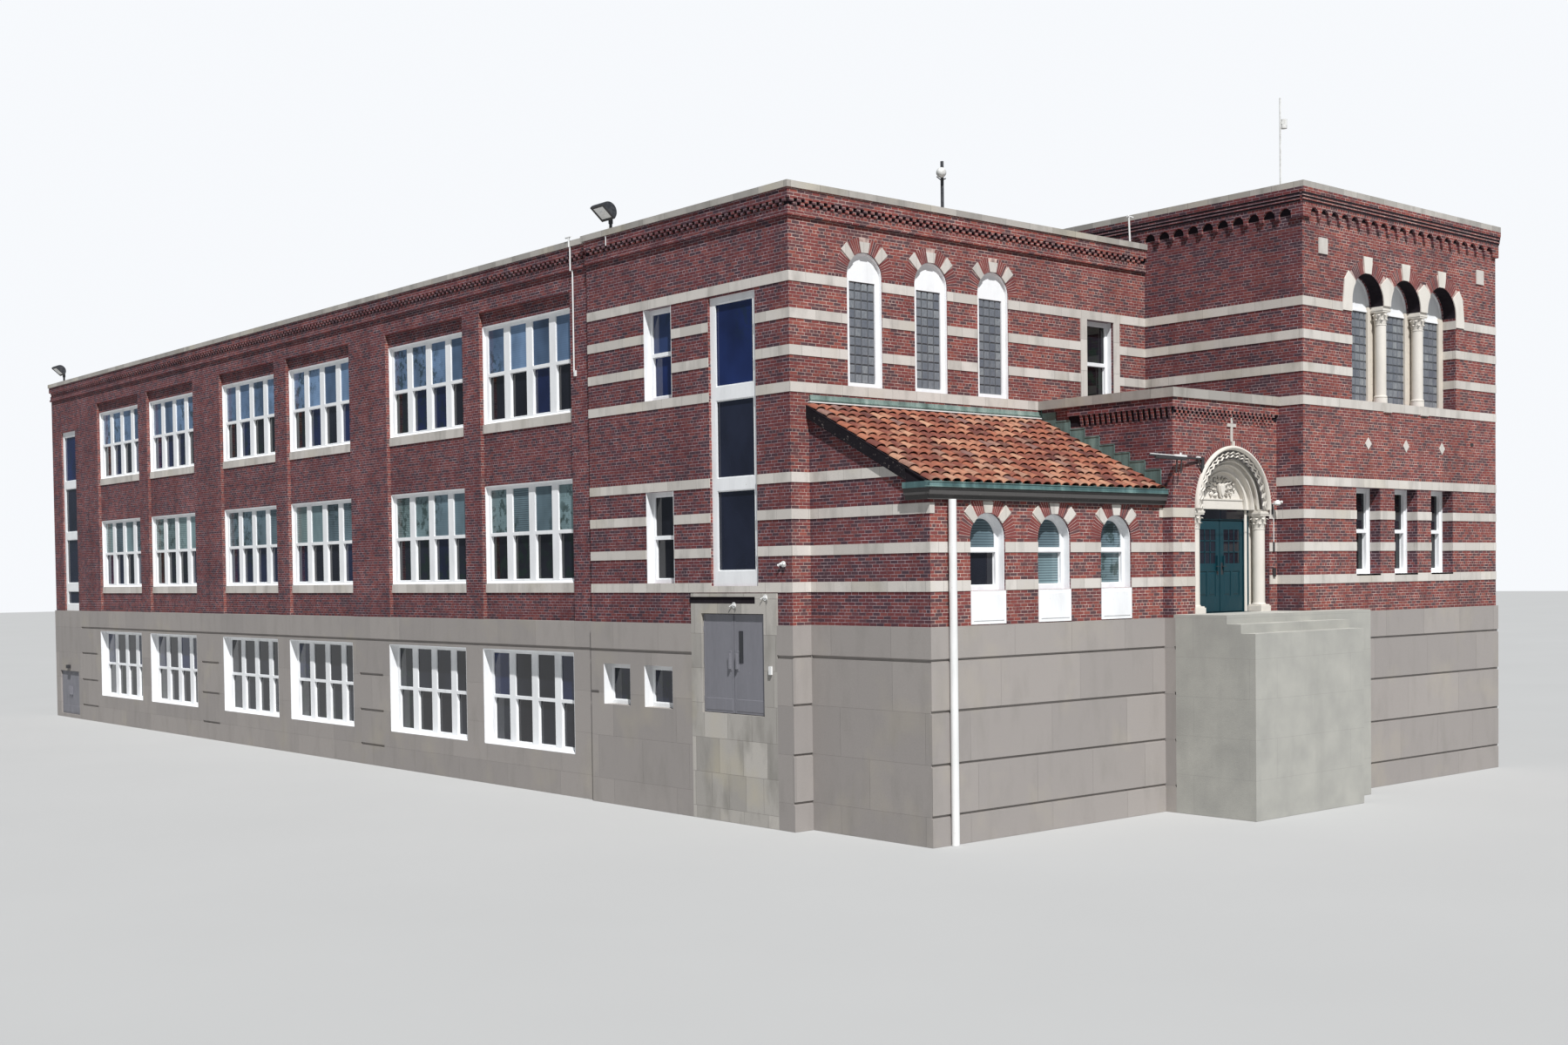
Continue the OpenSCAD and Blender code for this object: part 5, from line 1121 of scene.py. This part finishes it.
def flood_pair(place, a, z, reach):
    """A small white double lamp on a round plate, standing out by its reach."""
    p = Vector(place(a, 0, z))
    out = (Vector(place(a, 1, z)) - p).normalized()
    along = Vector((-out.y, out.x, 0))
    lamps.rod(p, p + out * reach * 0.25, 0.032, 14)
    lamps.rod(p + out * reach * 0.25, p + out * reach * 0.55, 0.01)
    for side in (-1, 1):
        head = p + out * reach * 0.5 + along * side * 0.028
        aim = (out * 0.3 + along * side * 0.8 + Vector((0, 0, -0.45))).normalized()
        lamps.rod(head - aim * 0.014, head + aim * 0.026, reach * 0.33, 12)
        lamps.rod(head + aim * 0.026, head + aim * 0.03, reach * 0.4, 12)


flood_pair(MAIN_LEFT, 0.135, z_at(18.5), 0.038)
flood_pair(BASE_LEFT, 0.405, z_at(8.4), 0.018)
flood_pair(BASE_LEFT, 0.92, z_at(6), 0.018)

# Small boxes and brackets on the walls, and the lamp right of the portal
lamps.box(BASE_LEFT, (0.305, 0.345), (0, 0.022), rows(-15, -12.5))
SHADE_OUTLINE = ((0.018, 36.4), (0.045, 36.9), (0.04, 37.6), (0.012, 38.2))
lamps.turned(5.648, -1.93, [(r, z_at(row)) for r, row in SHADE_OUTLINE])
lamps.box(left(0.034), (3.115, 3.15), (-0.034, 0.012), rows(124.4, 127.2))
lamps.box(WING_LEFT, (3.9, 3.935), (0, 0.02), rows(85.5, 87.5))
for a0, a1, out, low, high in ((5.635, 5.662, 0.012, 33.5, 37), (4.31, 4.36, 0.016, 45.5, 51.4),
                               (5.66, 5.69, 0.014, 21, 24.2), (5.655, 5.7, 0.022, 12.5, 15.5)):
    iron.box(ENTRANCE_FRONT, (a0, a1), (0, out), rows(low, high))
iron.box(left(WING_X - BASE_OUT), (21.7, 21.84), (0, 0.05), rows(-33.5, -31.5))
iron.box(TOWER_FRONT, (9.5, 9.56), (0, 0.01), rows(60.2, 61.2))

# The long lamp left of the portal: its arm, its tube and what hangs from them
ARM_Z = z_at(50.8)
POLE_TOP = ROOF_EDGE + 0.33
IRON_RODS = [
    ((4.335, -1.86, ARM_Z), (3.22, -2.00, ARM_Z), 0.01),
    ((4.335, -1.86, z_at(46)), (4.22, -1.88, ARM_Z), 0.007),
    ((3.95, -1.91, ARM_Z - 0.018), (3.34, -1.985, ARM_Z - 0.018), 0.014),
    *(((x, -1.92, ARM_Z), (x - 0.02, -1.92, ARM_Z - 0.17), 0.008) for x in (3.8, 3.88)),
    *(((POLE_X, POLE_Y, POLE_TOP), (POLE_X + arm, POLE_Y, POLE_TOP + 0.03), 0.006) for arm in (-0.07, 0.07)),
]
# White parts of that lamp, the first a thin white rod along the top of the arm as a painted highlight, then
# the conduits on the left wall, the parapet and right of the portal
WHITE_RODS = [
    ((3.9, -1.915, ARM_Z + 0.014), (3.24, -1.998, ARM_Z + 0.014), 0.006),
    ((3.98, -1.905, ARM_Z + 0.014), (3.74, -1.935, ARM_Z + 0.014), 0.013),
    ((3.86, -1.92, ARM_Z + 0.02), (3.86, -1.92, ARM_Z + 0.05), 0.011),
    ((4.28, -1.868, ARM_Z + 0.016), (4.2, -1.878, ARM_Z + 0.016), 0.009),
    ((-0.042, 3.132, z_at(127)), (-0.042, 3.132, z_at(130.3)), 0.006),
    ((0.00, 3.132, ROOF_EDGE), (0.00, 3.132, z_at(133.4)), 0.008),
    *(((x, 3.935, z_at(low)), (x, 3.935, z_at(high)), r) for x, low, high, r in (
        (0.036, 87, 122.4, 0.009), (0.005, 122, 130.4, 0.009), (-0.01, 130.2, 133.5, 0.011))),
    ((-0.008, 3.89, z_at(133.6)), (-0.008, 4.00, z_at(133.6)), 0.012),
    ((5.5, 0.02, ROOF_EDGE), (5.48, 0.02, z_at(141.6)), 0.012),
    ((5.45, 0.02, z_at(141.8)), (5.56, 0.02, z_at(141.6)), 0.013),
    ((5.648, -1.87, z_at(37)), (5.648, -1.99, z_at(37.6)), 0.014),
    ((5.675, -1.858, z_at(24)), (5.675, -1.858, z_at(36.5)), 0.005),
]
for piece, rods in ((iron, IRON_RODS), (lamps, WHITE_RODS)):
    for start, end, radius in rods:
        piece.rod(start, end, radius)

# Lenses and rims of the two floodlights on the parapet, on their tilted faces
lens = Piece("floodlight_lenses", METAL, "white_metal", smooth=30)
DOWN, RISE = Vector((-0.6428, 0, -0.766)), Vector((-0.766, 0, 0.6428))
RIMS = (((-0.125, -0.098), (-0.11, 0.108)), ((0.098, 0.125), (-0.11, 0.108)),
        ((-0.098, 0.098), (-0.11, -0.082)), ((-0.098, 0.098), (0.082, 0.108)))


def tilted(middle):
    """A place on a floodlight's face: along it, out from it and up it."""
    return lambda a, d, z: tuple(middle + DOWN * d + Vector((0, a, 0)) + RISE * z)


for y in (3.3, 22.05):
    face = tilted(Vector((0.04, y, ROOF_EDGE + 0.228)))
    lens.box(face, (-0.098, 0.098), (0, 0.004), (-0.082, 0.082))
    lens.boss(face, (-0.035, 0.035), (0.004, 0.012), (-0.03, 0.03), 0.012)
    for a, z in RIMS:
        iron.box(face, a, (0, 0.01), z)
lens.make()
iron.make()
lamps.make()

# Stage, light and camera
GROUND_HALF, GROUND_Z = 160, -0.002
ground_mesh = bpy.data.meshes.new("ground")
corners = [(x * GROUND_HALF, y * GROUND_HALF, GROUND_Z) for x, y in ((-1, -1), (1, -1), (1, 1), (-1, 1))]
ground_mesh.from_pydata(corners, [], [(0, 1, 2, 3)])
ground = placed("ground", ground_mesh)
pale = Look("stage_floor")
cloudy = pale.mix(pale.noise(0.3), (0.4, 0.4, 0.395), (0.43, 0.43, 0.425))
ground_mesh.materials.append(pale.done(cloudy, 0.95))

SUN_POWER, SUN_SIZE, TO_SUN = 5.3, radians(1.2), Vector((-1, -1.87, 2.9))
sun = bpy.data.lights.new("sun", "SUN")
sun.energy = SUN_POWER
sun.angle = SUN_SIZE
placed("sun", sun).rotation_euler = TO_SUN.to_track_quat("Z", "Y").to_euler()

# A dim sky that lights the building, and a pale backdrop that only the camera sees
world = bpy.data.worlds.new("studio")
bpy.context.scene.world = world
world.use_nodes = True
tree = world.node_tree
tree.nodes.clear()
paths = tree.nodes.new("ShaderNodeLightPath")
blend = tree.nodes.new("ShaderNodeMixShader")
tree.links.new(paths.outputs["Is Camera Ray"], blend.inputs[0])
for socket, colour, strength in ((1, (0.74, 0.86, 1, 1), 0.18), (2, (0.93, 0.95, 0.98, 1), 1)):
    sky = tree.nodes.new("ShaderNodeBackground")
    sky.inputs[0].default_value = colour
    sky.inputs[1].default_value = strength
    tree.links.new(sky.outputs[0], blend.inputs[socket])
tree.links.new(blend.outputs[0], tree.nodes.new("ShaderNodeOutputWorld").inputs[0])

# The camera that was fitted to the photograph; its shifts are in pixels of the 1800 wide frame
PHOTO_W, SHIFT_X, SHIFT_Y = 1800, 1, 116.7
EYE, LENS = (-11.55, -13.343, 2.617), 39.99
YAW, PITCH, ROLL = (radians(v) for v in (40.557, -1.621, -0.75))
ahead = Vector((sin(YAW) * cos(PITCH), cos(YAW) * cos(PITCH), sin(PITCH)))
level = Vector((cos(YAW), -sin(YAW), 0))
plumb = level.cross(ahead)
across = level * cos(ROLL) + plumb * sin(ROLL)
above = plumb * cos(ROLL) - level * sin(ROLL)
camera_data = bpy.data.cameras.new("camera")
camera_data.lens = LENS
camera_data.sensor_width = 36
camera_data.shift_x = SHIFT_X / PHOTO_W
camera_data.shift_y = SHIFT_Y / PHOTO_W
camera_data.clip_end = 500
camera = placed("camera", camera_data)
turn = Matrix((across, above, -ahead)).transposed().to_4x4()
camera.matrix_world = Matrix.Translation(EYE) @ turn
bpy.context.scene.camera = camera
bpy.context.scene.view_settings.view_transform = "Standard"
